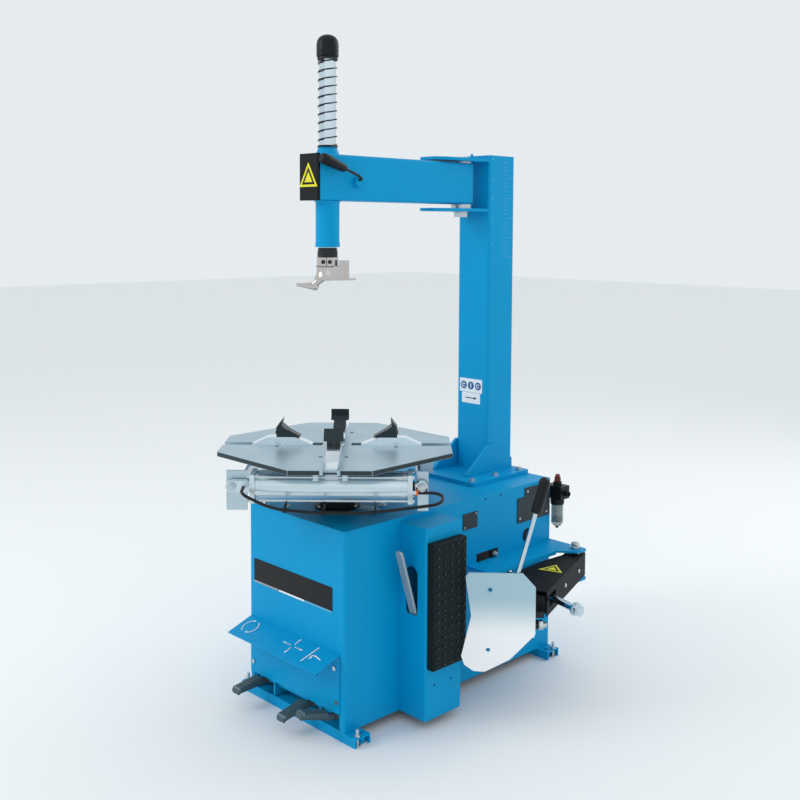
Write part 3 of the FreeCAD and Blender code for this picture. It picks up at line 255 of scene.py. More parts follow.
class Shape:
    """Gathers bevelled solids into one mesh, then becomes a piece that rides on a CAD body."""

    def __init__(self):
        self.mesh = bmesh.new()

    def _take(self, part, bevel, segments, where):
        if bevel:
            sharp = [e for e in part.edges if e.is_manifold and e.calc_face_angle(0) > math.radians(35)]
            bmesh.ops.bevel(part, geom=sharp, offset=bevel * MM, segments=segments, profile=0.6,
                            affect="EDGES", clamp_overlap=True)
        part.transform(where)
        spare = bpy.data.meshes.new("spare")
        part.to_mesh(spare)
        part.free()
        self.mesh.from_mesh(spare)
        bpy.data.meshes.remove(spare)
        return self

    def block(self, low, high, bevel=0.6, where=HERE, segments=2):
        """A box between two corners."""
        part = bmesh.new()
        bmesh.ops.create_cube(part, size=1)
        low, high = Vector(low) * MM, Vector(high) * MM
        part.transform(Matrix.Translation((low + high) / 2) @ Matrix.Diagonal((*(high - low), 1)))
        return self._take(part, bevel, segments, where)

    def disc(self, radius, length, at=(0, 0, 0), along="z", bevel=0.5, sides=40, where=HERE):
        """A round bar from the point at, raised along an axis."""
        part = bmesh.new()
        bmesh.ops.create_cone(part, cap_ends=True, segments=sides, radius1=radius * MM, radius2=radius * MM,
                              depth=length * MM)
        part.transform(Matrix.Translation(Vector(at) * MM) @ AIM[along]
                       @ Matrix.Translation((0, 0, length * MM / 2)))
        return self._take(part, bevel, 2, where)

    def lathe(self, outline, at=(0, 0, 0), along="z", sides=56, where=HERE):
        """A turned solid from (radius, height) points; the ends meet the axis."""
        part = bmesh.new()
        rings = []
        for radius, height in outline:
            spots = circle(radius, sides) if radius > 0 else [(0, 0)]
            rings.append([part.verts.new(Vector((x, y, height)) * MM) for x, y in spots])
        for one, two in zip(rings, rings[1:]):
            for n in range(sides):
                m = (n + 1) % sides
                corners = [one[0]] if len(one) == 1 else [one[n], one[m]]
                corners += [two[0]] if len(two) == 1 else [two[m], two[n]]
                if len(corners) > 2:
                    part.faces.new(corners)
        bmesh.ops.recalc_face_normals(part, faces=part.faces)
        part.transform(Matrix.Translation(Vector(at) * MM) @ AIM[along])
        return self._take(part, 0, 1, where)

    def plate(self, outline, thick, where=HERE, bevel=0.3):
        """A flat plate: (x, y) outline raised by thick along local z."""
        part = bmesh.new()
        face = part.faces.new([part.verts.new((x * MM, y * MM, 0)) for x, y in outline])
        raised = bmesh.ops.extrude_face_region(part, geom=[face])
        bmesh.ops.translate(part, vec=(0, 0, thick * MM),
                            verts=[v for v in raised["geom"] if isinstance(v, bmesh.types.BMVert)])
        bmesh.ops.recalc_face_normals(part, faces=part.faces)
        return self._take(part, bevel, 1, where)

    def hexagon(self, across, length, at=(0, 0, 0), along="z", where=HERE):
        """A six-sided head; across is its width across the flats."""
        return self.disc(across / math.sqrt(3), length, at, along, 0.9, 6, where)

    def screw(self, at, along="z", radius=5, high=3, where=HERE):
        """A button screw head: a dome with a round recess."""
        dent, floor = radius * 0.45, high - 1.6
        outline = [(0, floor), (dent, floor), (dent, high), (radius * 0.72, high - 0.1),
                   (radius * 0.95, high * 0.55), (radius, 0.2), (radius, 0), (0, 0)]
        return self.lathe(outline, at, along, 36, where)

    def nut(self, across, length, at, along="z", where=HERE):
        """A nut on a washer with the screw's end standing proud."""
        self.disc(across * 0.72, 1.6, at, along, 0.3, 36, where)
        step = AIM[along] @ Vector((0, 0, 1))
        self.hexagon(across, length, Vector(at) + step * 1.5, along, where)
        return self.disc(across * 0.28, 2.4, Vector(at) + step * (1.4 + length), along, 0.5, 24, where)

    def tube(self, points, radius, sides=14, where=HERE):
        """A round bar along a smooth line through the points."""
        line = bpy.data.curves.new("line", "CURVE")
        line.dimensions = "3D"
        spline = line.splines.new("NURBS")
        spline.points.add(len(points) - 1)
        for spot, point in zip(spline.points, points):
            spot.co = (*(Vector(point) * MM), 1)
        spline.order_u = 3
        spline.use_endpoint_u = True
        line.bevel_depth = radius * MM
        line.bevel_resolution = sides // 4
        line.resolution_u = 8
        line.use_fill_caps = True
        holder = bpy.data.objects.new("line", line)
        made = bpy.data.meshes.new_from_object(holder)
        part = bmesh.new()
        part.from_mesh(made)
        bpy.data.objects.remove(holder)
        bpy.data.meshes.remove(made)
        bpy.data.curves.remove(line)
        return self._take(part, 0, 1, where)

    def become(self, name, look, body, slot, replaced=()):
        """Make the gathered mesh a piece that rides on a body, in the look; the slot argument is not used."""
        data = bpy.data.meshes.new(name)
        bmesh.ops.remove_doubles(self.mesh, verts=self.mesh.verts, dist=1e-7)
        self.mesh.to_mesh(data)
        self.mesh.free()
        smooth(data)
        data.materials.append(look)
        item = bpy.data.objects.new(name, data)
        bpy.context.scene.collection.objects.link(item)
        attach(item, body)
        if replaced:
            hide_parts(*replaced)
        return item


def rounded(wide, high, radius, x=0, y=0, steps=6):
    """Outline of a rounded rectangle centred on x, y."""
    points = []
    for cx, cy, start in ((1, 1, 0), (-1, 1, 90), (-1, -1, 180), (1, -1, 270)):
        for n in range(steps + 1):
            a = math.radians(start + 90 * n / steps)
            points.append((x + cx * (wide / 2 - radius) + radius * math.cos(a),
                           y + cy * (high / 2 - radius) + radius * math.sin(a)))
    return points


def rectangle(left, low, right, high):
    return [(left, low), (right, low), (right, high), (left, high)]


def circle(radius, sides, x=0, y=0):
    """Outline of a full circle."""
    turns = [2 * math.pi * n / sides for n in range(sides)]
    return [(x + radius * math.cos(a), y + radius * math.sin(a)) for a in turns]


def arc_band(radius, width, start, end, steps=14, x=0, y=0):
    """Outline of a ring's stretch between two angles in degrees."""
    turns = [math.radians(start + (end - start) * n / steps) for n in range(steps + 1)]
    outer, inner = ([(x + reach * math.cos(a), y + reach * math.sin(a)) for a in turns]
                    for reach in (radius + width / 2, radius - width / 2))
    return outer + inner[::-1]


def arrow_head(x, y, size, degrees):
    """A triangle that points along degrees."""
    spots = []
    for corner, far in ((0, 1.0), (130, 0.85), (230, 0.85)):
        a = math.radians(degrees + corner)
        spots.append((x + size * far * math.cos(a), y + size * far * math.sin(a)))
    return spots


# ---------------------------------------------------------------- cabinet front

def front_details():
    """A blank name plate with three bars along its lower edge."""
    wide, high, bar_wide, bar_high = 340, 68, 112, 5
    face = facing_front(-13, CABINET_FRONT, 369)
    Shape().plate(rounded(wide, high, 2), 1.4, face, 0.3).become(
        "name_plate", GLOSSY, "frame", "black_plastic")
    for step, look in enumerate((GREY_PRINT, WHITE, PALE_BLUE)):
        start = step * (wide - bar_wide) / 2
        left, low = start - wide / 2, -high / 2
        bar = rectangle(left, low, left + bar_wide, low + bar_high)
        Shape().plate(bar, 0.15, face @ shift(0, 0, 1.42), 0).become(
            f"name_plate_stripe_{start:.0f}", look, "frame", "black_plastic")


def guard_details():
    """A lone stud in the guard's face."""
    Shape().screw((0, 0, 0), "y", 4.4, 2.6, place(94, GUARD_FRONT, 152, 180)).become(
        "guard_stud", DEEP_BLUE, "frame", "fastener_zinc")


def hood_prints():
    """Plain white hints of what each pedal does, printed on the sloping hood."""
    slope = math.degrees(math.atan2(28, 82))
    face = shift(0, HOOD_FRONT, HOOD_LOW) @ turn(slope, "X") @ shift(0, 0, 0.1)
    thick = 0.25
    prints = Shape()
    x, y = -152, -37
    prints.plate(arc_band(25, 2.6, 115, 245, 20, x, y), thick, face, 0)
    prints.plate(arc_band(25, 2.6, -62, 65, 20, x, y), thick, face, 0)
    prints.plate(arrow_head(x - 8, y + 23, 6, 20), thick, face, 0)
    prints.plate(arrow_head(x + 8, y - 22, 6, 200), thick, face, 0)
    x, y = 37, -36
    for degrees in (0, 90, 180, 270):
        a = math.radians(degrees)
        for far in (9, 15, 21):
            dot = circle(2.3, 10, x + 1.35 * far * math.cos(a), y + far * math.sin(a))
            prints.plate(dot, thick, face, 0)
        prints.plate(arrow_head(x + 36 * math.cos(a), y + 27 * math.sin(a), 5.5, degrees), thick, face, 0)
    prints.plate([(106, -68), (109.5, -69), (114.5, -6), (111, -5)], thick, face, 0)
    prints.plate([(119, -43), (125, -38), (131, -37), (156, -41), (156, -38), (131, -33), (124, -34),
                  (117, -39)], thick, face, 0)
    prints.plate(arrow_head(122, -46, 7, 250), thick, face, 0)
    prints.become("hood_prints", WHITE, "frame", "body_paint")


def cabinet_top():
    """Loose fittings on the cabinet's top, and the rotary union's screws and seal."""
    top = CABINET_TOP
    fittings = Shape()
    fittings.nut(15, 8, (79, -175, top))
    fittings.screw((-96, -378, top), radius=7, high=5)
    fittings.disc(6, 22, (-145, -421, top), bevel=1).disc(9, 3, (-145, -421, top), bevel=0.5)
    fittings.become("cabinet_top_fittings", ZINC, "frame", "fastener_zinc")
    Shape().block((58, -262, top), (132, -216, top + 3), 1).become(
        "cabinet_top_plate", PALE_BLUE, "frame", "body_paint")
    union = Shape()
    for degrees in (20, 140, 260):
        spot = turn(degrees, "Z") @ Vector((57, 0, 0))
        union.screw((spot.x, spot.y + TABLE[1], top + 6.2), radius=4.5, high=3)
    union.become("union_screws", ZINC, "frame", "fastener_zinc")
    ring = Shape()
    ring.lathe([(40.5, 590.4), (49, 590.4), (49, 592), (46, 594), (40.5, 594), (40.5, 590.4)],
               (TABLE[0], TABLE[1], 0))
    ring.become("union_seal", ZINC, "frame", "fastener_zinc")


def side_details():
    """Holes drawn as dark discs of painted shade, a grommet with painted shade inside it, bolt and small
    screws of the cabinet's right side.
    """
    x = CABINET_SIDE
    # painted shade: dark discs where the holes show the cabinet's shaded inside
    holes = Shape()
    for y, z in ((121.5, 548), (189.5, 548)):
        holes.disc(3, 1.2, (x - 0.6, y, z), "x", 0.2)
    holes.become("side_hole_shade_discs", HOLE_SHADE, "frame", "black_plastic")
    rim = Shape()
    rim.lathe([(18, -1.5), (21.5, -1.5), (21.5, 0.6), (20.5, 1.2), (18.4, 1.2), (18, 0.6), (18, -1.5)],
              (x + 0.2, 318, 400), "x")
    rim.become("side_grommet", BLACK, "frame", "black_plastic")
    # painted shade: a dark disc inside the grommet where the cabinet's inside shows
    Shape().disc(17.8, 1.5, (x - 2.4, 318, 400), "x", 0.2).become(
        "side_grommet_shade", HOLE_SHADE, "frame", "black_plastic")
    bolt = Shape().disc(9, 2, (x + 0.2, 165, 374), "x", 0.4)
    bolt.hexagon(13, 7, (x + 2, 165, 374), "x").disc(3.5, 3, (x + 8.6, 165, 374), "x", 0.6)
    bolt.become("side_bolt", ZINC, "frame", "fastener_zinc")
    Shape().block((x - 9, 150, 364), (x + 0.3, 180.8, 388), 0.8).become(
        "side_bolt_stay", DARK, "frame", "dark_steel")
    rivets = Shape()
    for y, z, radius, high in ((280, 458, 4, 2), (410, 458, 4, 2), (316, 536, 4, 2), (410, 536, 4, 2),
                               (30, 479, 3, 1.6), (78, 514, 3, 1.6)):
        rivets.screw((x + 2.3, y, z), "x", radius, high)
    rivets.become("side_plate_screws", ZINC, "frame", "fastener_zinc")


def pad_details():
    """Rows of small studs with pale tips on the rubber pad, and two holes in the box below it drawn as dark
    discs of painted shade.
    """
    columns, rows = 5, 14
    spots = [(PAD_FRONT + PAD_WIDE * (column + 0.5) / columns,
              PAD_LOW + (PAD_HIGH - PAD_LOW) * (row + 0.5) / rows)
             for column in range(columns) for row in range(rows)]
    studs, tips, holes = Shape(), Shape(), Shape()
    for y, z in spots:
        studs.lathe([(0, 3.4), (1.6, 3.3), (2.9, 2.6), (3.6, 0), (3.8, -0.6)], (PAD_FACE - 0.2, y, z), "x",
                    14)
        tips.disc(1.5, 0.5, (PAD_FACE + 3.0, y, z), "x", 0.15, 12)
    # painted shade: dark discs for the two holes in the box
    for y, z in ((-195, 117), (-130, 116)):
        holes.disc(2.9, 2, (301.2, y, z), "x", 0.2)
    studs.become("pad_studs", RUBBER, "frame", "pad_rubber")
    tips.become("pad_stud_tips", STUD, "frame", "pad_rubber")
    holes.become("pad_box_hole_shade_discs", HOLE_SHADE, "frame", "black_plastic")


# ---------------------------------------------------------------- tyre lever and pedals

def lever_bar():
    """The tyre lever: a flat forged bar with round ends, standing in its socket."""
    low, high = Vector(SOCKET_LOW), Vector(SOCKET_HIGH)
    wide, thick = 27, 7.6
    along, across = (high - low).normalized(), Vector((1, 0, 0))
    basis = Matrix((across, along, across.cross(along))).transposed().to_4x4()
    spot = shift(*(low + high) / 2) @ basis @ shift(0, 0, -thick / 2)
    Shape().plate(rounded(wide, (high - low).length, 13, steps=10), thick, spot, 2.2).become(
        "tyre_lever_bar", LEVER, "lever", "bright_chrome", ("tyre_lever",))


def pedal_details():
    """Each pedal's ribbed tread, its turned-down toe and the washers of its hinge."""
    for body, x, droop, lean, ribs in (("pedal_left", -146, 14, 0, 6), ("pedal_middle", 56, 22, 0, 9),
                                       ("pedal_right", 160, -12, -14, 7)):
        spot = place(x, PEDAL_Y, PEDAL_Z, lean)
        tread = Shape()
        tip, root = Vector((0, -114, 20.4 - droop)), Vector((0, -40, 18.4 - droop / 8))
        for n in range(ribs):
            middle = root.lerp(tip, (n + 0.6) / (ribs + 0.4))
            tread.block((-14, middle.y - 2.2, middle.z - 1.5), (14, middle.y + 2.2, middle.z + 1.3), 0.8,
                        spot)
        tread.become(body + "_ribs", PEDAL, body, "pedal_black")
        toe = Shape().block((-15.5, tip.y - 1, tip.z - 7), (15.5, tip.y + 7, tip.z + 1.6), 2.4, spot, 3)
        toe.become(body + "_toe", TOE, body, "pedal_black")
        fittings = Shape()
        for side in (-1, 1):
            fittings.disc(10, 3, (side * 12.6 - 1.5, 0, 0), "x", 0.5, where=place(x, PEDAL_Y, PEDAL_Z))
        fittings.become(body + "_washers", ZINC, body, "fastener_zinc")


# ---------------------------------------------------------------- turntable

def table_details():
    """Sunk screws, a centre cap, a dark band of painted shade on the plate's side faces, and the strips that
    guide the slides.
    """
    screws, cap = Shape(), Shape()
    for spot in ON_TABLE:
        for side in (-1, 1):
            screws.lathe([(0, -1.6), (3.2, -1.6), (3.4, -0.1), (6.2, -0.1), (6.6, 0.35), (6.6, 0.0),
                          (3.9, -6), (3.9, -18), (0, -18)], (165, side * 34, 0), "z", 30, spot)
    screws.become("table_screws", DARK, "table", "dark_steel")
    cap.lathe([(0, 1.8), (17, 1.8), (20, 1.2), (21, 0.05), (0, 0.05)], (0, 0, 0), "z", 60, ON_TABLE[0])
    cap.disc(5, 1.6, (0, 0, 1.6), bevel=0.5, where=ON_TABLE[0])
    cap.become("table_centre_cap", ZINC, "table", "fastener_zinc")
    far, half = TABLE_FAR, TABLE_HALF
    corners = [(far, -half), (far, half), (half, far), (-half, far), (-far, half), (-far, -half),
               (-half, -far), (half, -far)]
    # painted shade: a dark band over the plate's side faces, where they turn from the light
    edge = Shape()
    for n, (here, ahead) in enumerate(zip(corners, corners[1:] + corners[:1])):
        way = Vector(ahead) - Vector(here)
        long, aim = way.length, math.degrees(math.atan2(way.y, way.x))
        slotted = [(1, long / 2 - SLOT_HALF), (long / 2 + SLOT_HALF, long - 1)]
        for start, end in slotted if n % 2 == 0 else [(1, long - 1)]:
            edge.block((start, -0.25, -12.4), (end, 0.1, -1.4), 0, ON_TABLE[0] @ place(*here, 0, aim))
    edge.become("table_edge_shade_band", PLATE, "table", "dark_steel")
    guides, bolts = Shape(), Shape()
    for spot in ON_TABLE:
        for side in (-1, 1):
            low, high = sorted((side * 30.5, side * 44))
            guides.block((120, low, -32), (300, high, -13.2), 1.2, spot)
        for x in (150, 205, 270):
            for side in (-1, 1):
                bolts.hexagon(10, 5, (x, side * 37, -37), where=spot)
    guides.become("slide_guides", SLIDE, "table", "slide_steel")
    bolts.become("guide_bolts", ZINC, "table", "fastener_zinc")


def jaw_details():
    """Serrations along each jaw's gripping edge and two screws in its back."""
    lean = -math.degrees(math.atan2(23, -18))
    for step, name in enumerate(("right", "back", "left", "front")):
        spot, body = ON_TABLE[step], "slide_" + name
        ridges, fixings = Shape(), Shape()
        for n in range(7):
            ridge = spot @ shift(166.5 - 2.4 * n, 0, 51.5 + 3.1 * n) @ turn(lean, "Y")
            ridges.block((-0.9, -25, -0.6), (0.9, 25, 1.1), 0.3, ridge)
        ridges.become(f"jaw_{name}_ridges", JAW, body, "jaw_steel")
        for y in (-10, 10):
            fixings.screw((168.4, y, 34), "x", 4.6, 3, spot)
        fixings.become(f"jaw_{name}_screws", DARK, body, "dark_steel")


def clamp_details():
    """Bands, tie rods, seals, pins, fittings and hose clips of both clamp cylinders."""
    tube = CLAMP_RADIUS
    for step, name, tube_body, ram_body in ((0, "front", "slide_left", "slide_right"),
                                            (2, "back", "slide_right", "slide_left")):
        spot = ON_TABLE[step] @ shift(0, CLAMP_OFF, CLAMP_DROP)
        bands = Shape()
        for x in (-190, 186):
            bands.lathe([(tube, x - 4), (tube + 1.6, x - 3.6), (tube + 2, x), (tube + 1.6, x + 3.6),
                         (tube, x + 4), (tube, x - 4)], (0, 0, 0), "x", 64, spot)
        bands.become(f"clamp_{name}_bands", ALLOY, tube_body, "cylinder_alloy")
        rods = Shape()
        for y in (-30.5, 30.5):
            for z in (-30.5, 30.5):
                rods.disc(3, 418, (-209, y, z), "x", 0.3, 16, where=spot)
                for x in (-213.5, 208):
                    rods.hexagon(9, 5.4, (x, y, z), "x", spot)
        rods.become(f"clamp_{name}_tie_rods", ZINC, tube_body, "fastener_zinc")
        seal = [(9.5, 208), (14, 208), (13.4, 214), (9.5, 215), (9.5, 208)]
        Shape().lathe(seal, (0, 0, 0), "x", 40, spot).become(
            f"clamp_{name}_seal", BLACK, tube_body, "black_plastic")
        Shape().disc(5, 3, (-258, -22.6, 0), "y", 0.8, where=spot).become(
            f"clamp_{name}_pin_nut", ZINC, tube_body, "fastener_zinc")
        ends = Shape()
        ends.disc(10.5, 3, (232, -21.5, 0), "y", 0.6, where=spot)
        ends.hexagon(15, 7, (232, -28, 0), "y", spot)
        ends.become(f"clamp_{name}_ram_nut", ZINC, ram_body, "fastener_zinc")
        Shape().disc(7.4, 5, (217, -25, -10), "x", 0.8, where=spot).become(
            f"clamp_{name}_ring", ORANGE, tube_body, "knob_red")
        clips = Shape()
        for x, y, z in ((-118, -73.8, -44), (-20, -75, -51), (110, -77.4, -47.2)):
            clips.disc(6.2, 7, (x, y, z), "x", 1.2, where=spot)
            clips.block((x + 1.5, y + 2, z + 2), (x + 5.5, y + 44, z + 13), 0.8, spot)
        clips.become(f"clamp_{name}_hose_clips", BLACK, tube_body, "black_plastic")


# ---------------------------------------------------------------- column and arm

def column_prints():
    """Two blank labels with plain marks, a scale of dots and ticks, a lug and the foot's weld."""
    front = facing_front(COLUMN_X, COLUMN_FRONT, 0)
    raised, higher = front @ shift(0, 0, 0.4), front @ shift(0, 0, 0.65)
    arrow_z = LABEL_Z - 40
    Shape().plate(rounded(94, 44, 3, -5, LABEL_Z), 0.4, front, 0.1).plate(
        rounded(77, 34, 3, -4.5, arrow_z), 0.4, front, 0.1).become(
        "column_labels", WHITE, "frame", "body_paint")
    rounds, marks = Shape(), Shape()
    for x, mark in ((-35, "ring"), (-5, "bar"), (25, "ring")):
        rounds.plate(circle(12.5, 32, x, LABEL_Z), 0.25, raised, 0)
        marks.plate(rounded(4, 15, 1.8, x, LABEL_Z) if mark == "bar"
                    else arc_band(5.5, 3, 20, 320, 14, x, LABEL_Z), 0.2, higher, 0)
    rounds.become("column_label_rounds", DEEP_BLUE, "frame", "body_paint")
    marks.become("column_label_marks", WHITE, "frame", "body_paint")
    Shape().plate(rectangle(-28, arrow_z - 1.5, 12, arrow_z + 1.5), 0.25, raised, 0).plate(
        arrow_head(13, arrow_z, 7, 0), 0.25, raised, 0).become(
        "column_label_arrow", GLOSSY, "frame", "black_plastic")
    side = Matrix(((0, 0, 1, COLUMN_SIDE * MM), (1, 0, 0, 0), (0, 1, 0, 0), (0, 0, 0, 1)))
    ticks = Shape()
    for z in (1557, 1492, 1433, 1363, 1289):
        ticks.plate(circle(3, 16, 324, z), 0.3, side, 0)
    for n in range(25):
        z = 1250 + 12.3 * n
        ticks.plate(rectangle(372, z, 398 if n % 5 else 420, z + 1), 0.2, side, 0)
    ticks.become("column_scale", PALE_BLUE, "frame", "body_paint")
    lug = [(0, -0.5), (5.5, -0.5), (4.5, 4), (1.5, 8), (0, 8.4)]
    Shape().lathe(lug, (-33, 314, COLUMN_TOP), "z", 24).become("column_lug", BLUE, "frame", "body_paint")
    weld = Shape()
    for x in (-82, 46):
        weld.tube([(x, 309, 573.5), (x, 340, 573.5), (x, 428, 573.5)], 2.2)
    weld.tube([(-82, 308, 573.5), (-18, 308, 573.5), (46, 308, 573.5)], 2.2)
    weld.become("column_weld", BLUE, "frame", "body_paint")


def triangle_print(name, where, size, body):
    """A plain yellow triangle with a dark border and an empty field."""
    yellow, outer, inner = ([(reach * math.cos(a), reach * math.sin(a))
                             for a in [math.radians(90 + 120 * n) for n in range(3)]]
                            for reach in (size, size * 0.72, size * 0.72 * 0.62))
    Shape().plate(yellow, 0.3, where, 0).become(name, YELLOW, body, "black_plastic")
    border = Shape()
    for n, m in ((0, 1), (1, 2), (2, 0)):
        border.plate([outer[n], outer[m], inner[m], inner[n]], 0.25, where @ shift(0, 0, 0.3), 0)
    border.become(name + "_border", GLOSSY, body, "black_plastic")


def arm_details():
    """The blank sign on the arm's end, the sleeve's rings and its top washer."""
    triangle_print("arm_sign", facing_front(COLUMN_X, ARM_FRONT, 1474), 44, "arm")
    collar = Shape()
    collar.lathe([(33.2, 1288.5), (34.2, 1289.5), (34.2, 1299), (33.2, 1300)], (COLUMN_X, SHAFT_Y, 0))
    collar.lathe([(33.3, 1409), (37, 1415), (33.3, 1415), (33.3, 1409)], (COLUMN_X, SHAFT_Y, 0))
    collar.become("sleeve_rings", BLUE, "arm", "body_paint")
    Shape().lathe([(24.2, 0.05), (29.5, 0.05), (29, 1.4), (25, 2), (24.2, 2), (24.2, 0.05)],
                  (COLUMN_X, SHAFT_Y, SLEEVE_TOP)).become("sleeve_top_washer", DARK, "arm", "dark_steel")


def lever_details():
    """The lock lever: a flat boss on its axis, a thin bent stalk and a fat tapering grip."""
    foot, top = Vector((45, LOCK_Y - 3, LOCK_Z + 14)), Vector((45, -375, 1529))
    spot, reach = pointing(foot, top), (top - foot).length
    along = (top - foot).normalized()
    bend = [(33.2, LOCK_Y - 1, LOCK_Z + 5.5), (39, LOCK_Y - 1, LOCK_Z + 6), (45, LOCK_Y - 2, LOCK_Z + 9),
            foot + along * 16, foot + along * (reach - 60), foot + along * (reach - 50)]
    Shape().tube(bend, 3.8, 16).become("lock_lever_stalk", DARK, "lock", "dark_steel", ("lock_lever",))
    low = reach - 90
    Shape().lathe([(0, low), (7, low), (10, low + 1.5), (11.4, low + 7), (13.4, low + 36), (15, low + 62),
                   (15.4, low + 76), (13.6, low + 84), (8.5, low + 89), (0, low + 90)], where=spot).become(
        "lock_lever_grip", BLACK, "lock", "black_plastic")
    Shape().disc(14.4, 2.2, (32.05, LOCK_Y, LOCK_Z), "x", 0.8).become(
        "lock_lever_boss", BLUE, "lock", "body_paint")


def shaft_details():
    """The coil spring, the rounded knob and the bar's stop ring."""
    x, y = COLUMN_X, SHAFT_Y
    turns, low, high, per_turn, radius = 10, 1565.5, 1797.5, 12, 26.4
    points = []
    for n in range(-10, turns * per_turn + 11):
        level = min(max(n / (turns * per_turn), 0), 1)
        a = 2 * math.pi * n / per_turn
        points.append((x + radius * math.cos(a), y + radius * math.sin(a), low + (high - low) * level))
    spring = Shape().tube(points, 1.6, 12).become(
        "spring_coil", DARK, "arm", "fastener_zinc", ("return_spring",))
    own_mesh(spring)
    profile = [(0, 0), (27, 0), (29.4, 1.2), (30.3, 3.5), (30.4, 32), (30.2, 36), (29.2, 43), (26.8, 49),
               (22.5, 54.5), (17, 58.3), (10, 61), (0, 61.9)]
    Shape().lathe(profile, (x, y, KNOB_LOW), "z", 72).become(
        "knob_cap", BLACK, "shaft", "black_plastic", ("top_knob",))
    Shape().lathe([(30.35, 6), (30.6, 6.4), (30.6, 8.6), (30.35, 9)], (x, y, KNOB_LOW), "z", 72).become(
        "knob_seam", GLOSSY, "shaft", "black_plastic")
    Shape().lathe([(21, 1277), (26, 1277), (26.6, 1278), (26.6, 1284), (25, 1286), (21, 1286), (21, 1277)],
                  (x, y, 0)).become("shaft_stop_ring", DARK, "shaft", "dark_steel")


def head_details():
    """The turned hub between the clamp block and the shoe, its clamp screws, its slit drawn as a dark strip
    of painted shade, and its tip.
    """
    x, y, top = COLUMN_X, SHAFT_Y, HEAD_TOP
    hub = [(0, 0.2), (29, 0.2), (30.5, -2), (30.5, -14), (32, -24), (35.5, -31), (37, -33), (37, -37.5),
           (36, -38.6), (0, -38.6)]
    Shape().lathe(hub, (x, y, top), "z", 64).become("head_hub", HEAD, "shaft", "head_steel")
    Shape().lathe([(30.6, -2.6), (31.2, -2), (31.2, 0), (30.6, 0.6)], (x, y, top), "z", 64).become(
        "head_seam", DARK, "shaft", "dark_steel")
    spot = place(x, y, 0, TABLE_TURN)
    screws = Shape()
    for side in (-1, 1):
        screws.disc(5.6, 4, (side * 9, -42.6, top + 12), "y", 0.6, where=spot)
        screws.hexagon(5, 1, (side * 9, -43.2, top + 12), "y", spot)
    screws.become("head_clamp_screws", DARK, "shaft", "dark_steel")
    # painted shade: a dark strip where the clamp block's slit lies in shade
    Shape().block((-0.9, -39.3, top + 1), (0.9, -38.6, top + 23), 0, spot).become(
        "head_slit_shade", HOLE_SHADE, "shaft", "dark_steel")
    Shape().disc(5.4, 2.5, bevel=0.6, where=spot @ shift(-82, -14, top - 52) @ turn(-90, "Y")).become(
        "head_tip", CHROME, "shaft", "bright_chrome")


# ---------------------------------------------------------------- bead breaker

def breaker_details():
    """The breaker's sign, cover screws, pivot nut, ram end, blade bolt, and the blade's rims and handle."""
    arm, ram, blade = (place(*spot, degrees) for spot, degrees in (
        (BREAKER_PIVOT, BREAKER_TURN), (RAM_BACK, RAM_TURN), (BLADE_SPOT, BLADE_TURN)))
    triangle_print("breaker_sign", arm @ shift(-17, -180, 353.1), 41, "breaker_arm")
    fixings = Shape()
    for y in (-60, -200):
        fixings.screw((28.1, y, 318), "x", 6, 4, arm)
    fixings.become("breaker_cover_screws", ZINC, "breaker_arm", "fastener_zinc")
    Shape().nut(22, 11, (*BREAKER_PIVOT[:2], 372.2)).become(
        "breaker_pivot_nut", ZINC, "frame", "fastener_zinc")
    Shape().disc(7, 1.2, (627.6, 0, 0), "x", 0.4, where=ram).become(
        "breaker_ram_end", CHROME, "breaker_ram", "bright_chrome")
    rims, nuts = Shape(), Shape()
    for x, z in ((-147, 374), (-151, 209)):
        rims.lathe([(6.2, 0), (8.4, -0.2), (8.8, 0.6), (8.4, 1.4), (6.2, 1.2), (6.2, 0)], (x, -1.0, z), "y",
                   36, blade)
    rims.become("blade_hole_rims", BLADE, "blade", "table_steel")
    bolt_y, bolt_z = 52, 262
    nuts.disc(8, 26, (-20, bolt_y, bolt_z), "x", 0.8, where=blade)
    nuts.hexagon(24, 9, (-9, bolt_y, bolt_z), "x", blade)
    nuts.disc(15, 2, (-11.5, bolt_y, bolt_z), "x", 0.4, where=blade)
    nuts.disc(7, 5, (5, bolt_y, bolt_z), "x", 1.6, where=blade)
    nuts.become("blade_bolt_nut", ZINC, "breaker_arm", "fastener_zinc")
    Shape().tube([(-102, 8.5, 318), (-97, 9.5, 330), (-88, 9.5, 362), (-80, 9, 392), (-78, 8, 400)], 4,
                 where=blade).become("handle_weld", CHROME, "blade", "bright_chrome")
    spot = blade @ pointing(Vector((-96, 12.2, 330)), Vector((-2, 12.2, 676)))
    Shape().lathe([(0, 0), (5.9, 0), (6, 2), (6, 268), (0, 268)], where=spot).become(
        "handle_rod", CHROME, "blade", "bright_chrome", ("blade_handle",))
    outline = [(6.1, 262), (11, 262), (13, 264)]
    for n in range(7):
        z = 270 + 10 * n
        outline += [(15, z), (15, z + 6), (14, z + 8)]
    outline += [(15.2, 342), (15, 350), (12, 357.5), (6, 361.4), (0, 362)]
    Shape().lathe(outline, where=spot).become("handle_grip", BLACK, "blade", "black_plastic")


# ---------------------------------------------------------------- air unit

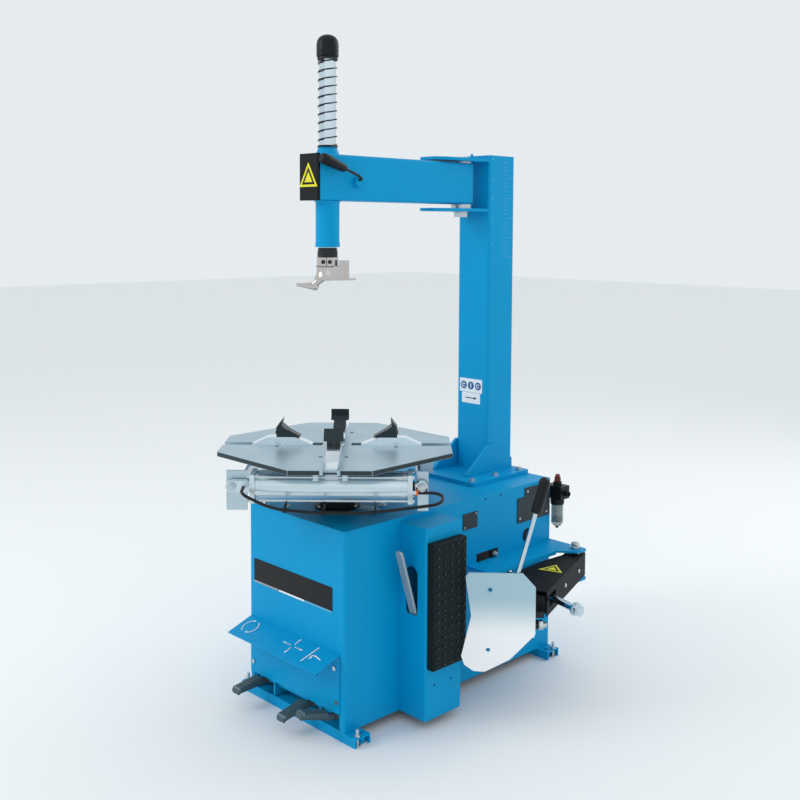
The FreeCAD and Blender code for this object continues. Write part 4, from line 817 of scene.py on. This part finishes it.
def air_details():
    """The bowl's float, collar and drain, the regulator's ribs and the inlet nut."""
    x, y = AIR_X, AIR_Y
    Shape().lathe([(0, 418.6), (15.4, 418.6), (15.4, 432), (0, 432)], (x, y, 0), "z", 40).become(
        "bowl_float", GREY_PRINT, "frame", "black_plastic")
    Shape().lathe([(19.2, 474), (21, 474), (21, 481), (19.2, 481), (19.2, 474)], (x, y, 0)).disc(
        5, 9, (x, y, 397), bevel=1.2, sides=24).become("bowl_collar", BLACK, "frame", "black_plastic")
    grip = Shape()
    for rib_x, rib_y in circle(8.8, 18, x, y):
        grip.disc(1.1, 12, (rib_x, rib_y, 547), bevel=0.3, sides=10)
    grip.become("regulator_ribs", RED, "regulator", "knob_red")
    Shape().hexagon(17, 9, (x - 52, y, 512), "x").become("air_port_nut", BRASS, "frame", "fastener_zinc")


for add_details in (front_details, guard_details, hood_prints, cabinet_top, side_details, pad_details,
                    lever_bar, pedal_details, table_details, jaw_details, clamp_details, column_prints,
                    arm_details, lever_details, shaft_details, head_details, breaker_details, air_details):
    add_details()


# ---------------------------------------------------------------- stage, light and camera

def build_stage():
    """Pale floor, soft studio light, and the camera."""
    scene = bpy.context.scene
    bpy.ops.mesh.primitive_plane_add(size=40, location=(0, 0, -0.0005))
    floor = bpy.context.active_object
    floor.name = "floor"
    floor.data.materials.append(plain("floor", (0.90, 0.91, 0.91), 0.85))
    world = bpy.data.worlds.new("studio")
    world.use_nodes = True
    world.node_tree.nodes["Background"].inputs["Color"].default_value = (0.92, 0.97, 1.0, 1)
    world.node_tree.nodes["Background"].inputs["Strength"].default_value = 0.86
    scene.world = world
    for name, spot, aim, wide, power in (
            ("key", (-1.9, -3.6, 2.9), (0, -0.3, 0.7), 1.6, 46),
            ("fill", (3.4, -2.6, 2.6), (0.1, -0.1, 0.5), 2.4, 5),
            ("rim", (0.9, 3.4, 3.0), (0, 0, 1.0), 2.2, 30)):
        lamp = bpy.data.lights.new(name, "AREA")
        lamp.size = wide
        lamp.energy = power
        item = bpy.data.objects.new(name, lamp)
        item.location = spot
        item.rotation_euler = (Vector(aim) - Vector(spot)).to_track_quat("-Z", "Y").to_euler()
        scene.collection.objects.link(item)
    camera = bpy.data.cameras.new("camera")
    camera.lens = 46.84
    camera.sensor_width = 36
    camera.shift_x = 0.0117
    camera.shift_y = -0.1297
    item = bpy.data.objects.new("camera", camera)
    yaw, dip, roll = 46.1045, 3.816, 0.233
    item.matrix_world = (shift(2179.5, -2169.5, 1344.6) @ turn(yaw, "Z") @ turn(90 - dip, "X")
                         @ turn(roll, "Z"))
    scene.collection.objects.link(item)
    scene.camera = item
    scene.view_settings.view_transform = "Standard"
    scene.view_settings.look = "None"


build_stage()
